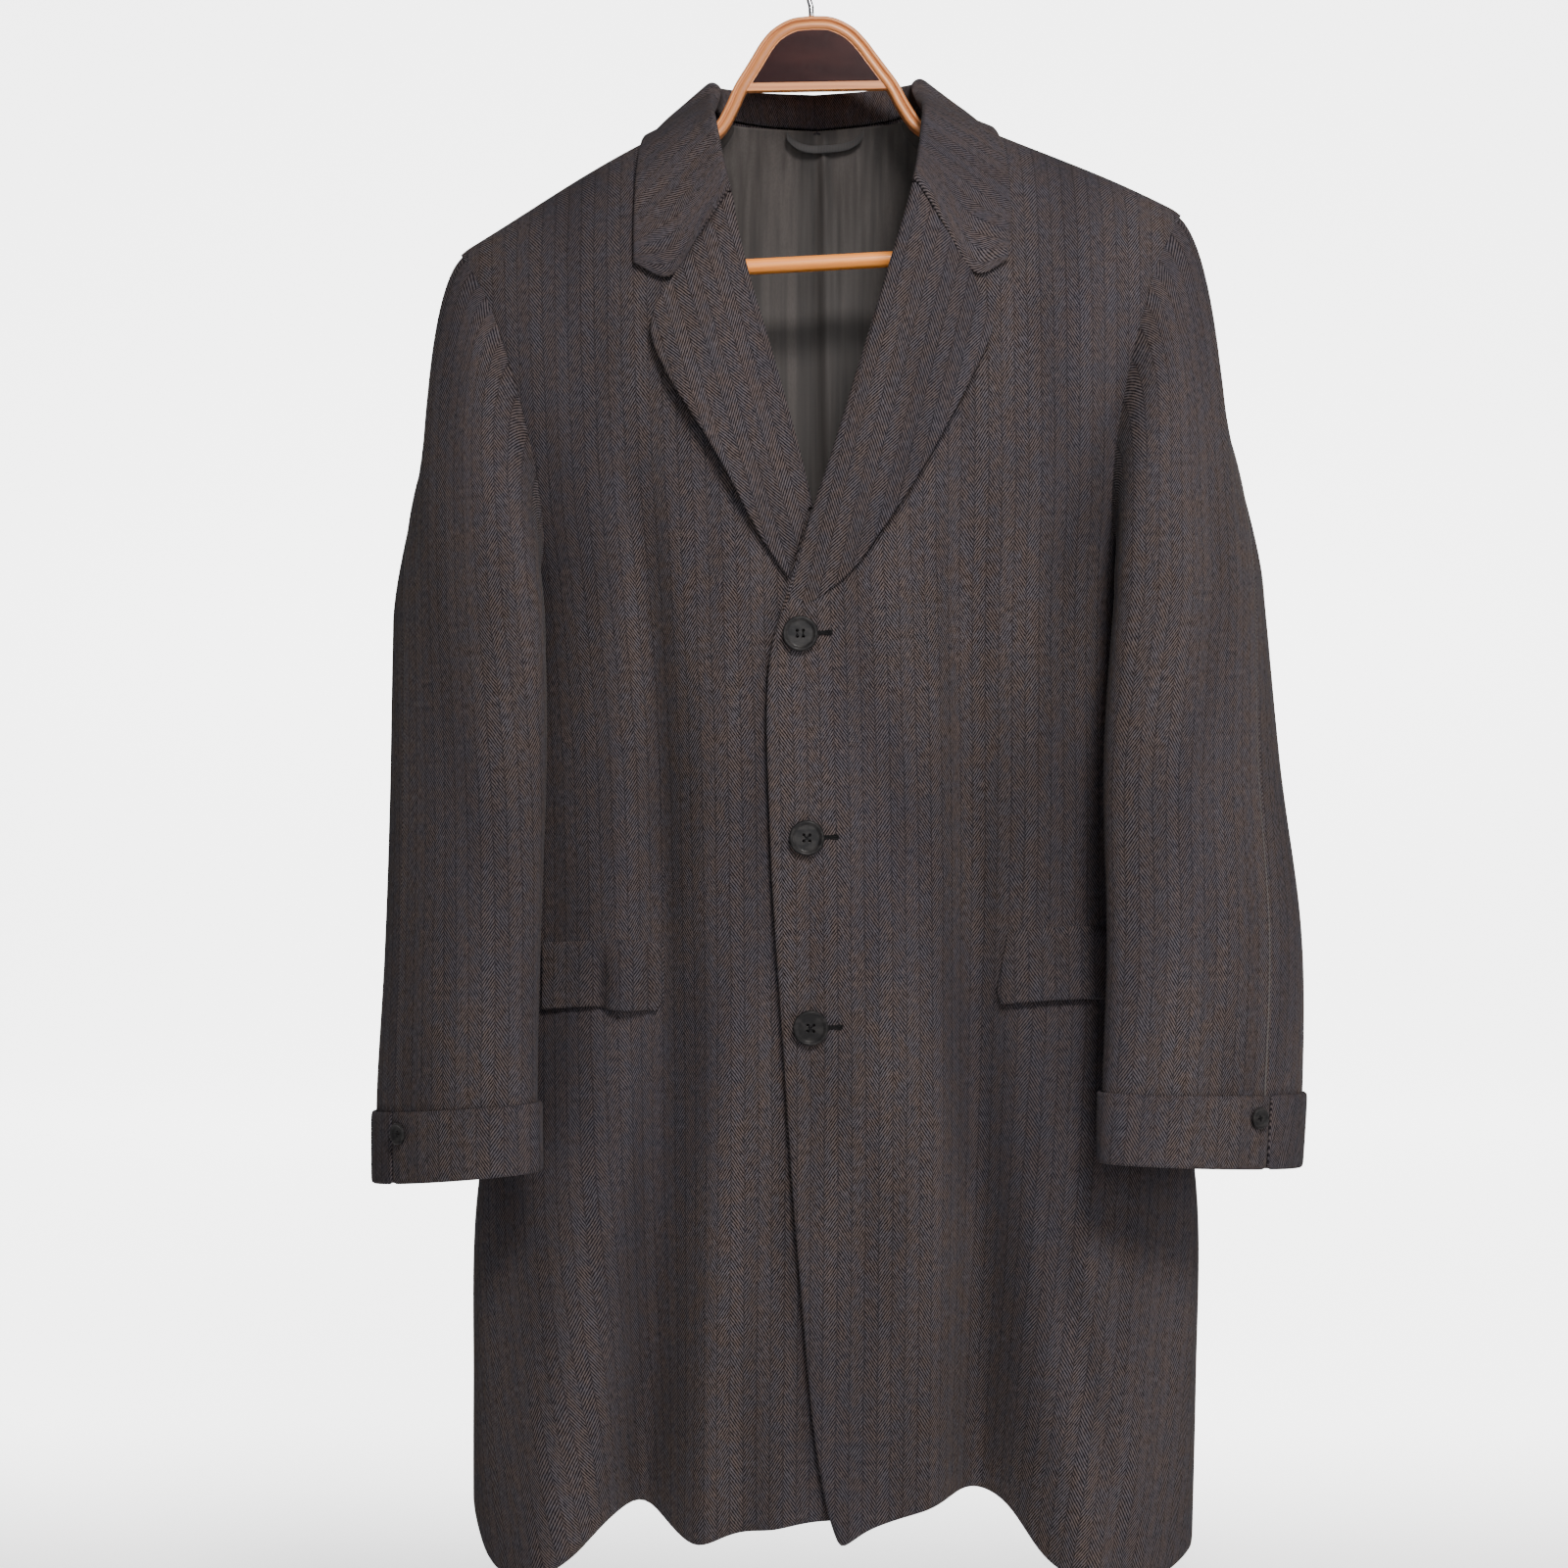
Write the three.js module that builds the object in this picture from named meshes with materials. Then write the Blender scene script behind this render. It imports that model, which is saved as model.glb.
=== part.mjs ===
// A wool overcoat hanging on a wooden hanger.
// Millimetres, +Z up. The front looks along -Y, and +X is the wearer's left.
// The origin is where a rail bears inside the top of the hook.
//
// Every form is worked out in a plumb frame, where the coat is even about x = 0 and
// z falls from the hook. settle() then leans it as the hanger leans.
import * as THREE from "three";

// Cloth and gaps
const CLOTH = 2.2;
const TURNED_CLOTH = 2.2;
const LINING = 1;
const SEAM_GAP = 0.3;
const LAID_GAP = 1.3;

// Heights and widths of the cut
const NECK_HALF = 81;
const NECK_Z = -130.6;
const BACK_NECK_Z = -134;
const SHOULDER_HALF = 264;
const SHOULDER_Z = -220.5;
const SHOULDER_SLOPE = (NECK_Z - SHOULDER_Z) / (SHOULDER_HALF - NECK_HALF);
const SHOULDER_ROUND = 150;
const SHOULDER_PAD = 3;
const UNDERARM_HALF = 226;
const UNDERARM_Z = -488;
const UNDER_FRONT_INSET = 6;
const UNDER_FRONT_BLEND = 34;

// Widths and depths of the body from the neck to the hem
const SECTIONS = [
  { z: -100, half: 285, front: 82, back: 62, square: 2.4 },
  { z: -224, half: 280, front: 86, back: 68, square: 2.4 },
  { z: -350, half: 255, front: 88, back: 76, square: 2.4 },
  { z: -430, half: 238, front: 88, back: 78, square: 2.3 },
  { z: UNDERARM_Z, half: UNDERARM_HALF, front: 88, back: 78, square: 2.2 },
  { z: -600, half: 225, front: 87, back: 76, square: 2.2 },
  { z: -760, half: 238, front: 87, back: 78, square: 2.2 },
  { z: -860, half: 255, front: 88, back: 82, square: 2.25 },
  { z: -930, half: 264, front: 90, back: 86, square: 2.4 },
  { z: -1060, half: 264, front: 92, back: 92, square: 2.6 },
  { z: -1190, half: 262, front: 94, back: 98, square: 2.8 },
];

// Front edge and roll line of the front that laps over, on the wearer's left
const OVER_EDGE = [
  { z: -1160, x: 4 },
  { z: -1136, x: -5 },
  { z: -966, x: -28 },
  { z: -794, x: -41 },
  { z: -657, x: -48 },
  { z: -540, x: -46 },
  { z: -513, x: -40 },
  { z: -486, x: -29 },
  { z: -431, x: -9 },
  { z: -377, x: 12 },
  { z: -307, x: 34 },
  { z: -250, x: 53 },
  { z: -205, x: 66 },
  { z: -165, x: 75 },
  { z: -130, x: NECK_HALF },
];

// The same on the front that lies under it, measured towards the wearer's right
const UNDER_EDGE = [
  { z: -1160, x: -42 },
  { z: -560, x: -44 },
  { z: -520, x: -32 },
  { z: -487, x: -8 },
  { z: -435, x: 11 },
  { z: -368, x: 27 },
  { z: -296, x: 46 },
  { z: -221, x: 65 },
  { z: -165, x: 76 },
  { z: -130, x: NECK_HALF },
];

// Hem heights, by distance from the middle
const OVER_HEM = [
  { x: -10, z: -1160 },
  { x: 4, z: -1158 },
  { x: 22, z: -1146 },
  { x: 50, z: -1138 },
  { x: 78, z: -1132 },
  { x: 104, z: -1131 },
  { x: 121, z: -1137 },
  { x: 145, z: -1166 },
  { x: 187, z: -1183 },
  { x: 235, z: -1186 },
  { x: 262, z: -1178 },
];
const UNDER_HEM = [
  { x: -44, z: -1142 },
  { x: 19, z: -1141 },
  { x: 46, z: -1145 },
  { x: 73, z: -1148 },
  { x: 101, z: -1155 },
  { x: 115, z: -1150 },
  { x: 138, z: -1137 },
  { x: 158, z: -1142 },
  { x: 183, z: -1161 },
  { x: 224, z: -1178 },
  { x: 248, z: -1172 },
  { x: 262, z: -1144 },
];
const BACK_HEM = [
  { x: 0, z: -1160 },
  { x: 90, z: -1154 },
  { x: 180, z: -1168 },
  { x: 236, z: -1164 },
  { x: 262, z: -1146 },
];

// Folds, each a soft trough (depth above 0) or ridge that follows its rows down
const OVER_FOLDS = [
  [
    { z: -330, x: 96, spread: 20, depth: 0 },
    { z: -480, x: 98, spread: 20, depth: 8 },
    { z: -830, x: 101, spread: 24, depth: 17 },
    { z: -1190, x: 106, spread: 30, depth: 44 },
  ],
  [
    { z: -700, x: 185, spread: 40, depth: 0 },
    { z: -920, x: 188, spread: 42, depth: -10 },
    { z: -1190, x: 192, spread: 44, depth: -32 },
  ],
  [
    { z: -900, x: 150, spread: 14, depth: 0 },
    { z: -1010, x: 168, spread: 18, depth: 5 },
    { z: -1190, x: 206, spread: 16, depth: 4 },
  ],
];
const UNDER_FOLDS = [
  [
    { z: -330, x: 140, spread: 20, depth: 0 },
    { z: -480, x: 130, spread: 20, depth: 10 },
    { z: -830, x: 118, spread: 22, depth: 20 },
    { z: -1000, x: 124, spread: 26, depth: 30 },
    { z: -1190, x: 139, spread: 30, depth: 46 },
  ],
  [
    { z: -700, x: 190, spread: 36, depth: 0 },
    { z: -920, x: 196, spread: 38, depth: -10 },
    { z: -1190, x: 206, spread: 40, depth: -32 },
  ],
  [
    { z: -900, x: 92, spread: 16, depth: 0 },
    { z: -1190, x: 98, spread: 18, depth: -9 },
  ],
];
const BACK_FOLDS = [
  [
    { z: -420, x: 92, spread: 30, depth: 0 },
    { z: -800, x: 88, spread: 32, depth: 10 },
    { z: -1190, x: 92, spread: 36, depth: 30 },
  ],
  [
    { z: -600, x: 180, spread: 40, depth: 0 },
    { z: -1190, x: 186, spread: 44, depth: -18 },
  ],
];

// Armhole from the underarm up to the shoulder point, front and back
const ARMHOLE = [
  { front: UNDERARM_HALF, back: UNDERARM_HALF, z: UNDERARM_Z },
  { front: 212, back: 222, z: -476 },
  { front: 203, back: 218, z: -445 },
  { front: 206, back: 221, z: -395 },
  { front: 217, back: 230, z: -340 },
  { front: 230, back: 241, z: -294 },
  { front: 243, back: 250, z: -258 },
  { front: SHOULDER_HALF, back: SHOULDER_HALF, z: SHOULDER_Z },
];

// Sleeve below the armhole: ovals whose long axis leans from the outer back to the inner front
const SLEEVE_RIGHT = [
  { z: -500, x: 260, y: -46, long: 81, short: 37, lean: 50 },
  { z: -620, x: 261, y: -68, long: 72, short: 37, lean: 42 },
  { z: -740, x: 265, y: -80, long: 68, short: 36, lean: 38 },
  { z: -840, x: 268, y: -88, long: 70, short: 34, lean: 36 },
  { z: -910, x: 267, y: -92, long: 71, short: 33, lean: 36 },
];
const SLEEVE_LEFT = [
  { z: -500, x: 258, y: -46, long: 82, short: 37, lean: 50 },
  { z: -620, x: 252, y: -72, long: 82, short: 36, lean: 38 },
  { z: -740, x: 257, y: -86, long: 85, short: 33, lean: 32 },
  { z: -840, x: 254, y: -94, long: 85, short: 30, lean: 29 },
  { z: -910, x: 251, y: -98, long: 82, short: 29, lean: 28 },
];
const SLEEVE_TOP_Z = SLEEVE_RIGHT[0].z;
const SLEEVE_HEM_Z = -893;
const SLEEVE_HEM_RISE = 8;

// How the sleeve head leaves the armhole, at the shoulder, front, underarm and back
const SLEEVE_HEAD = [
  { turn: 0, out: 85, forward: 12, down: 75, fall: 240 },
  { turn: 45, out: 75, forward: 50, down: 85, fall: 190 },
  { turn: 90, out: 22, forward: 75, down: 60, fall: 110 },
  { turn: 180, out: 24, forward: 6, down: 4, fall: 24 },
  { turn: 270, out: 90, forward: -20, down: 60, fall: 120 },
  { turn: 315, out: 98, forward: -15, down: 80, fall: 190 },
  { turn: 360, out: 85, forward: 12, down: 75, fall: 240 },
];
const HIND_SEAM_TURN = -24;
const HIND_SEAM_AT_HEAD = -48;
const FOREARM_SEAM_TURN = 118;
const SEAM_TURN_GAP = 0.3;
const CROWN_SHARE = 0.25;
const HEAD_GAP = 0.85;

// Turned-back cuffs
const CUFF_Z = -843;
const CUFF_RISE = 6;
const CUFF_STAND = 3.4;
const CUFF_END_TURN = 3;

// Lapels: the roll line and the outer edge, row by row from the gorge down to the break
const OVER_LAPEL = [
  { roll: 66, rollZ: -208, edge: 104, edgeZ: -274 },
  { roll: 64, rollZ: -214, edge: 117, edgeZ: -306 },
  { roll: 59, rollZ: -231, edge: 115, edgeZ: -320 },
  { roll: 47, rollZ: -268, edge: 91, edgeZ: -366 },
  { roll: 27, rollZ: -330, edge: 65, edgeZ: -409 },
  { roll: 4, rollZ: -398, edge: 37, edgeZ: -448 },
  { roll: -15, rollZ: -448, edge: 9, edgeZ: -481 },
  { roll: -27, rollZ: -480, edge: -18, edgeZ: -499 },
];
const UNDER_LAPEL = [
  { roll: 68, rollZ: -207, edge: 105, edgeZ: -265 },
  { roll: 67, rollZ: -212, edge: 122, edgeZ: -296 },
  { roll: 62, rollZ: -232, edge: 112, edgeZ: -330 },
  { roll: 54, rollZ: -268, edge: 91, edgeZ: -366 },
  { roll: 39, rollZ: -322, edge: 71, edgeZ: -402 },
  { roll: 23, rollZ: -385, edge: 49, edgeZ: -447 },
  { roll: 13, rollZ: -430, edge: 29, edgeZ: -479 },
];
const LAPEL_LIFT = TURNED_CLOTH + LAID_GAP;
// The lapel leaves the front at the roll line, rolls up and lies flat again
const ROLL_GAP = 0.7;
const LAPEL_ROLL_LIFT = 3;
const LAPEL_ROLL_SHARE = 0.3;
const UNDER_LAPEL_LIFT = LAPEL_LIFT + 0.6;

// Collar from the gorge round to the middle of the back: neck seam, fold and outer edge.
// In front the seam and fold follow the roll line, and the table gives only their heights.
// out turns the fold's cross-section from sideways (0) to backwards (1).
const COLLAR = [
  { seamZ: -211, foldZ: -204, edgeX: 133, edgeY: -60, edgeZ: -252, out: 0 },
  { seamZ: -190, foldZ: -178, edgeX: 134, edgeY: -54, edgeZ: -222, out: 0 },
  { seamZ: -152, foldZ: -131, edgeX: 132, edgeY: -33, edgeZ: -177, out: 0 },
  { seamZ: -128, foldZ: -110, edgeX: 126, edgeY: 0, edgeZ: -148, out: 0.05 },
  { seamZ: -129, foldZ: -106, edgeX: 112, edgeY: 34, edgeZ: -152, out: 0.35 },
  { seamZ: -131, foldZ: -105, edgeX: 66, edgeY: 60, edgeZ: -158, out: 0.75 },
  { seamZ: -133, foldZ: -105, edgeX: 0, edgeY: 68, edgeZ: -162, out: 1 },
];
const COLLAR_BACK = [
  { at: 0.5, seamX: 76, seamY: 2, foldX: 78.5, foldY: 0 },
  { at: 4 / 6, seamX: 67, seamY: 20, foldX: 73, foldY: 24 },
  { at: 5 / 6, seamX: 39, seamY: 34, foldX: 44, foldY: 44 },
  { at: 1, seamX: 0, seamY: 42.8, foldX: 0, foldY: 54 },
];
const COLLAR_FOLD_RADIUS = 3.6;
const COLLAR_BULGE = 1.5;
// Share of the collar's width at which it folds, and over which its leaf leaves the stand
const COLLAR_FOLD_AT = 0.4;
const COLLAR_FOLD_BLEND = 0.1;
const COLLAR_ENDS = {
  left: { notchX: 104, notchZ: -270.5, cornerX: 130, cornerZ: -263 },
  right: { notchX: 105, notchZ: -262, cornerX: 134, cornerZ: -250 },
};
const COLLAR_LIFT = LAPEL_LIFT + 0.4;
// The stand sinks behind the roll line, less so at its very end
const COLLAR_SEAM_INSET = 5;
const COLLAR_END_INSET = 1.5;
// Shares of the way round where the collar leaves its end, and where it leaves the roll line
const COLLAR_END_SHARE = 0.16;
const COLLAR_FRONT_SHARE = 0.34;

// Pocket flaps, from the front end outwards
const FLAP_FRONT = 124;
const FLAP_FAR = 212;
const FLAP_TOP_Z = -731;
const FLAP_HEIGHT = 52;
const FLAP_FRONT_SLANT = 10;
const FLAP_BOW = 3;
const FLAP_LIFT = TURNED_CLOTH + LAID_GAP;
const OVER_FLAP_SHIFT = -5;

// Buttons
const BUTTON_RADIUS = 12.4;
const BUTTON_THICK = 4.2;
const CUFF_BUTTON_RADIUS = 7.4;
const CUFF_BUTTON_THICK = 3;
const BUTTON_STEPS = 20;
const BUTTON_GAP = 0.5;
const CUFF_BUTTON_GAP = 0.45;
const BUTTONS = [
  { name: "button_top", x: -22.5, z: -518 },
  { name: "button_middle", x: -21.5, z: -661 },
  { name: "button_bottom", x: -20, z: -794 },
];
const CUFF_BUTTON_TURN = -15;
const CUFF_BUTTON_Z = -858;

// Lining of the back and the hanging loop
const LINING_TOP_Z = -137;
const LINING_LOW_Z = -500;
const LINING_HALF = 192;
const LINING_TOP_HALF = 40;
const LINING_LEFT_FREE = 2.4;
const LOOP_HALF = 29;
const LOOP_X = 6;
const LOOP_TALL = 7;
const LOOP_SAG = 9;
const LOOP_TOP_Z = -136.5;
const LOOP_TAPE = 1.2;

// Hanger: the bent frame's centre line from the top of the arch to one end
const ARM_BELOW_SEAM = 10.8;
const HANGER_LINE = [
  { x: 0, z: -66.6, deep: 6 },
  { x: 14, z: -68, deep: 6 },
  { x: 26.5, z: -74.5, deep: 6 },
  { x: 35, z: -83.5, deep: 6 },
  { x: 41.5, z: -93, deep: 6 },
  { x: 48, z: -102.5, deep: 6 },
  { x: 56, z: -114.5, deep: 6.5 },
  { x: 63.5, z: -129.5, deep: 6.5 },
  { x: 73, z: -143.5, deep: 6.5 },
  { x: 88, z: -151.5, deep: 7.5 },
  { x: 110, z: shoulderLine(110) - ARM_BELOW_SEAM, deep: 8.5 },
  { x: 150, z: shoulderLine(150) - ARM_BELOW_SEAM, deep: 9 },
  { x: 200, z: shoulderLine(200) - ARM_BELOW_SEAM, deep: 9 },
  { x: 219, z: shoulderLine(219) - ARM_BELOW_SEAM - 1, deep: 9 },
  { x: 228, z: -228, deep: 10 },
  { x: 230, z: -250, deep: 9 },
];
const HANGER_HALF_THICK = 4.6;
const HANGER_BEVEL = 2;
const BAR_Z = -242;
const BAR_RADIUS = 5.8;
const BAR_STEPS = 14;
const PANEL_LOW_Z = -116;
const PANEL_THICK = 5;
const HOOK_WIRE = 2;
const HOOK_RADIUS = 22;
const HOOK_STEPS = 22;

// How the hanger's lean passes down the coat, and how its middle wanders sideways
const SETTLING = [
  { z: 10, drift: 0, lean: 0.04 },
  { z: -62, drift: 1.4, lean: 0.04 },
  { z: -105, drift: 4.5, lean: 0.018 },
  { z: -150, drift: 6.5, lean: 0.025 },
  { z: -200, drift: 8, lean: 0.054 },
  { z: -240, drift: 8.5, lean: 0.054 },
  { z: -400, drift: 11.5, lean: 0.048 },
  { z: -620, drift: 18, lean: 0.035 },
  { z: -850, drift: 20, lean: 0.02 },
  { z: -1200, drift: 16.5, lean: 0.012 },
];

const COLOURS = {
  wool: { color: 0x35343a, roughness: 0.95, metalness: 0 },
  lining: { color: 0x3a3b36, roughness: 0.6, metalness: 0 },
  loop: { color: 0x232226, roughness: 0.8, metalness: 0 },
  button: { color: 0x26262a, roughness: 0.4, metalness: 0 },
  wood: { color: 0xb98250, roughness: 0.5, metalness: 0 },
  panel: { color: 0x2c1512, roughness: 0.25, metalness: 0 },
  steel: { color: 0xb8babd, roughness: 0.3, metalness: 1 },
};

const coat = new THREE.Group();
coat.name = "overcoat";

function add(name, geometry, finish) {
  const mesh = new THREE.Mesh(geometry, new THREE.MeshStandardMaterial(COLOURS[finish]));
  mesh.name = name;
  coat.add(mesh);
}

// Value of one column of a table at a place in another column, on a smooth curve
function read(rows, by, place, column) {
  const down = rows[rows.length - 1][by] < rows[0][by];
  const before = (a, b) => (down ? a > b : a < b);
  if (!before(rows[0][by], place)) return rows[0][column];
  const last = rows.length - 1;
  if (!before(place, rows[last][by])) return rows[last][column];
  let i = 0;
  while (before(rows[i + 1][by], place)) i += 1;
  const slope = (a, b) => (rows[b][column] - rows[a][column]) / (rows[b][by] - rows[a][by]);
  const span = rows[i + 1][by] - rows[i][by];
  const t = (place - rows[i][by]) / span;
  const here = slope(i, i + 1);
  const start = i > 0 ? (slope(i - 1, i) + here) / 2 : here;
  const end = i + 1 < last ? (here + slope(i + 1, i + 2)) / 2 : here;
  return hermite(rows[i][column], start * span, rows[i + 1][column], end * span, t);
}

function hermite(from, leaving, to, arriving, t) {
  const t2 = t * t;
  const t3 = t2 * t;
  return (
    from * (2 * t3 - 3 * t2 + 1) +
    leaving * (t3 - 2 * t2 + t) +
    to * (3 * t2 - 2 * t3) +
    arriving * (t3 - t2)
  );
}

// Rows counted from 0 to 1, so that a table can be read as a curve through its rows
function counted(rows) {
  return rows.map((row, i) => ({ ...row, at: i / (rows.length - 1) }));
}

function clamp(value, low, high) {
  return Math.min(high, Math.max(low, value));
}

function smooth(value) {
  const t = clamp(value, 0, 1);
  return t * t * (3 - 2 * t);
}

function mix(a, b, t) {
  return a + (b - a) * t;
}

// A point of the plumb frame where it hangs
function settle(p) {
  const drift = read(SETTLING, "z", p.z, "drift");
  const lean = read(SETTLING, "z", p.z, "lean");
  return new THREE.Vector3(p.x + drift, p.y, p.z + lean * p.x);
}

// Closed geometry from rows of outer points and rows of inner points
function shell(outer, inner) {
  const rows = outer.length;
  const columns = outer[0].length;
  const points = [...outer.flat(), ...inner.flat()].map(settle);
  const at = (i, j, layer) => layer * rows * columns + i * columns + j;
  const faces = [];
  const quad = (a, b, c, d) => faces.push(a, b, c, a, c, d);
  for (let i = 0; i + 1 < rows; i += 1) {
    for (let j = 0; j + 1 < columns; j += 1) {
      quad(at(i, j, 0), at(i, j + 1, 0), at(i + 1, j + 1, 0), at(i + 1, j, 0));
      quad(at(i, j, 1), at(i + 1, j, 1), at(i + 1, j + 1, 1), at(i, j + 1, 1));
    }
    quad(at(i, 0, 1), at(i, 0, 0), at(i + 1, 0, 0), at(i + 1, 0, 1));
    const far = columns - 1;
    quad(at(i, far, 0), at(i, far, 1), at(i + 1, far, 1), at(i + 1, far, 0));
  }
  for (let j = 0; j + 1 < columns; j += 1) {
    quad(at(0, j, 1), at(0, j + 1, 1), at(0, j + 1, 0), at(0, j, 0));
    const far = rows - 1;
    quad(at(far, j, 0), at(far, j + 1, 0), at(far, j + 1, 1), at(far, j, 1));
  }
  return closedGeometry(points, faces);
}

// Closed tube through rings of points, capped at both ends
function tube(rings) {
  const around = rings[0].length;
  const points = rings.flat().map(settle);
  const faces = [];
  for (let i = 0; i + 1 < rings.length; i += 1) {
    for (let j = 0; j < around; j += 1) {
      const k = (j + 1) % around;
      const a = i * around;
      const b = (i + 1) * around;
      faces.push(a + j, a + k, b + k, a + j, b + k, b + j);
    }
  }
  const end = (rings.length - 1) * around;
  for (let j = 1; j + 1 < around; j += 1) {
    faces.push(0, j + 1, j, end, end + j, end + j + 1);
  }
  return closedGeometry(points, faces);
}

function closedGeometry(points, faces) {
  let volume = 0;
  for (let i = 0; i < faces.length; i += 3) {
    const [a, b, c] = [points[faces[i]], points[faces[i + 1]], points[faces[i + 2]]];
    volume += a.dot(new THREE.Vector3().crossVectors(b, c));
  }
  const order = volume < 0 ? faces.slice().reverse() : faces;
  const geometry = new THREE.BufferGeometry().setFromPoints(points);
  geometry.setIndex(order);
  geometry.computeVertexNormals();
  return geometry;
}

function steps(count, low = 0, high = 1) {
  return Array.from({ length: count + 1 }, (_, i) => mix(low, high, i / count));
}

// Direction square to a surface at (u, v), from the surface a little way round
function across(surface, u, v, range) {
  const reach = 1e-3;
  const [u0, u1] = [Math.max(u - reach, range.u[0]), Math.min(u + reach, range.u[1])];
  const [v0, v1] = [Math.max(v - reach, range.v[0]), Math.min(v + reach, range.v[1])];
  const along = surface(u1, v).sub(surface(u0, v));
  const up = surface(u, v1).sub(surface(u, v0));
  return along.cross(up).normalize();
}

// A wall of cloth: the outer points lie on the surface, the inner ones a thickness away.
// Where keep is given, it holds the inner points on this piece's side of a seam.
function wall(surface, us, vs, thick, { side = 1, range = OPEN_RANGE, keep = (p) => p } = {}) {
  const outer = vs.map((v) => us.map((u) => surface(u, v)));
  const inner = vs.map((v, i) =>
    us.map((u, j) => {
      const offset = across(surface, u, v, range).multiplyScalar(side * thick);
      return keep(outer[i][j].clone().add(offset));
    }),
  );
  return shell(outer, inner);
}

const OPEN_RANGE = { u: [-9, 9], v: [-9, 9] };

// Body

// Height of the shoulder seam, a straight slope with a little padding in its middle
function shoulderLine(x) {
  const out = Math.abs(x) - NECK_HALF;
  const pad = Math.sin(Math.PI * clamp(out / (SHOULDER_HALF - NECK_HALF), 0, 1));
  return NECK_Z - SHOULDER_SLOPE * out + SHOULDER_PAD * pad;
}

function foldDepth(folds, x, z) {
  let depth = 0;
  for (const rows of folds) {
    const middle = read(rows, "z", z, "x");
    const spread = read(rows, "z", z, "spread");
    depth += read(rows, "z", z, "depth") * Math.exp(-(((x - middle) / spread) ** 2));
  }
  return depth;
}

// Distance of the body's outer face from the plane of the side seams.
// x grows from the middle towards the side seam on either half.
function bodyDepth(x, z, column, folds) {
  const half = read(SECTIONS, "z", z, "half");
  const square = read(SECTIONS, "z", z, "square");
  const share = clamp(Math.abs(x) / half, 0, 1);
  const round = (1 - share ** square) ** (1 / square);
  const drop = clamp((shoulderLine(x) - z) / SHOULDER_ROUND, 0, 1);
  const crown = Math.sqrt(1 - (1 - drop) ** 2);
  const hold = 1 - share ** 8;
  return (read(SECTIONS, "z", z, column) * round - foldDepth(folds, x, z) * hold) * crown;
}

function overFrontY(x, z) {
  return -bodyDepth(x, z, "front", OVER_FOLDS) - SEAM_GAP;
}

// The front that lies under sinks behind the edge of the other one
function underFrontY(x, z) {
  const edge = -read(OVER_EDGE, "z", z, "x");
  const sunk = smooth((edge + UNDER_FRONT_BLEND - x) / UNDER_FRONT_BLEND);
  return -bodyDepth(x, z, "front", UNDER_FOLDS) - SEAM_GAP + UNDER_FRONT_INSET * sunk;
}

function backY(x, z) {
  return bodyDepth(x, z, "back", BACK_FOLDS) + SEAM_GAP;
}

const ARMHOLE_CURVE = counted(ARMHOLE);

function armhole(at, edge) {
  return { x: read(ARMHOLE_CURVE, "at", at, edge), z: read(ARMHOLE_CURVE, "at", at, "z") };
}

// Place on the armhole that lies a given drop under the shoulder line
function armholeAtDrop(drop, edge) {
  let [low, high] = [0, 1];
  for (let i = 0; i < 30; i += 1) {
    const middle = (low + high) / 2;
    const p = armhole(middle, edge);
    if (shoulderLine(p.x) - p.z > drop) low = middle;
    else high = middle;
  }
  return (low + high) / 2;
}

// Height of a panel's row at x. Rows run 0 to 1 from the hem to the underarm,
// 1 to 2 up the armhole, and 2 to 3 over the rounding of the shoulder.
function panelRow(v, edge, hem, top) {
  if (v <= 1) {
    return { farX: null, z: (x) => mix(read(hem, "x", x, "z"), UNDERARM_Z, v) };
  }
  const roundAt = armholeAtDrop(SHOULDER_ROUND, edge);
  if (v <= 2) {
    const far = armhole(roundAt * (v - 1), edge);
    const share = (far.z - UNDERARM_Z) / (top(far.x) - SHOULDER_ROUND - UNDERARM_Z);
    return { farX: far.x, z: (x) => mix(UNDERARM_Z, top(x) - SHOULDER_ROUND, share) };
  }
  const drop = SHOULDER_ROUND * (1 - Math.cos(((3 - v) * Math.PI) / 2));
  const far = armhole(armholeAtDrop(drop, edge), edge);
  return { farX: far.x, z: (x) => top(x) - drop };
}

// Point (u, v) of a panel, u from its inner edge to the side seam or armhole
function panelPoint(u, v, panel) {
  const row = panelRow(v, panel.armhole, panel.hem, panel.top);
  let nearX = panel.inner(UNDERARM_Z);
  let farX = row.farX;
  for (let i = 0; i < 12; i += 1) nearX = panel.inner(row.z(nearX));
  if (farX === null) {
    farX = SECTIONS[SECTIONS.length - 1].half;
    for (let i = 0; i < 12; i += 1) farX = read(SECTIONS, "z", row.z(farX), "half");
  }
  const spacing = mix(u, Math.sin((u * Math.PI) / 2), v <= 1 ? 0.7 : 0.35);
  const x = mix(nearX, farX, spacing);
  const z = row.z(x);
  return new THREE.Vector3(panel.side * x, panel.y(x, z), z);
}

const PANELS = {
  front_left: {
    side: 1,
    armhole: "front",
    hem: OVER_HEM,
    top: shoulderLine,
    inner: (z) => read(OVER_EDGE, "z", z, "x"),
    y: overFrontY,
  },
  front_right: {
    side: -1,
    armhole: "front",
    hem: UNDER_HEM,
    top: shoulderLine,
    inner: (z) => read(UNDER_EDGE, "z", z, "x"),
    y: underFrontY,
  },
  back_left: {
    side: 1,
    armhole: "back",
    hem: BACK_HEM,
    top: backTop,
    inner: () => SEAM_GAP / 2,
    y: backY,
  },
  back_right: {
    side: -1,
    armhole: "back",
    hem: BACK_HEM,
    top: backTop,
    inner: () => SEAM_GAP / 2,
    y: backY,
  },
};

// Top of the back: the neck seam in the middle, the shoulder line beside it
function backTop(x) {
  if (x >= NECK_HALF) return shoulderLine(x);
  return mix(BACK_NECK_Z, NECK_Z, (x / NECK_HALF) ** 2);
}

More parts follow.
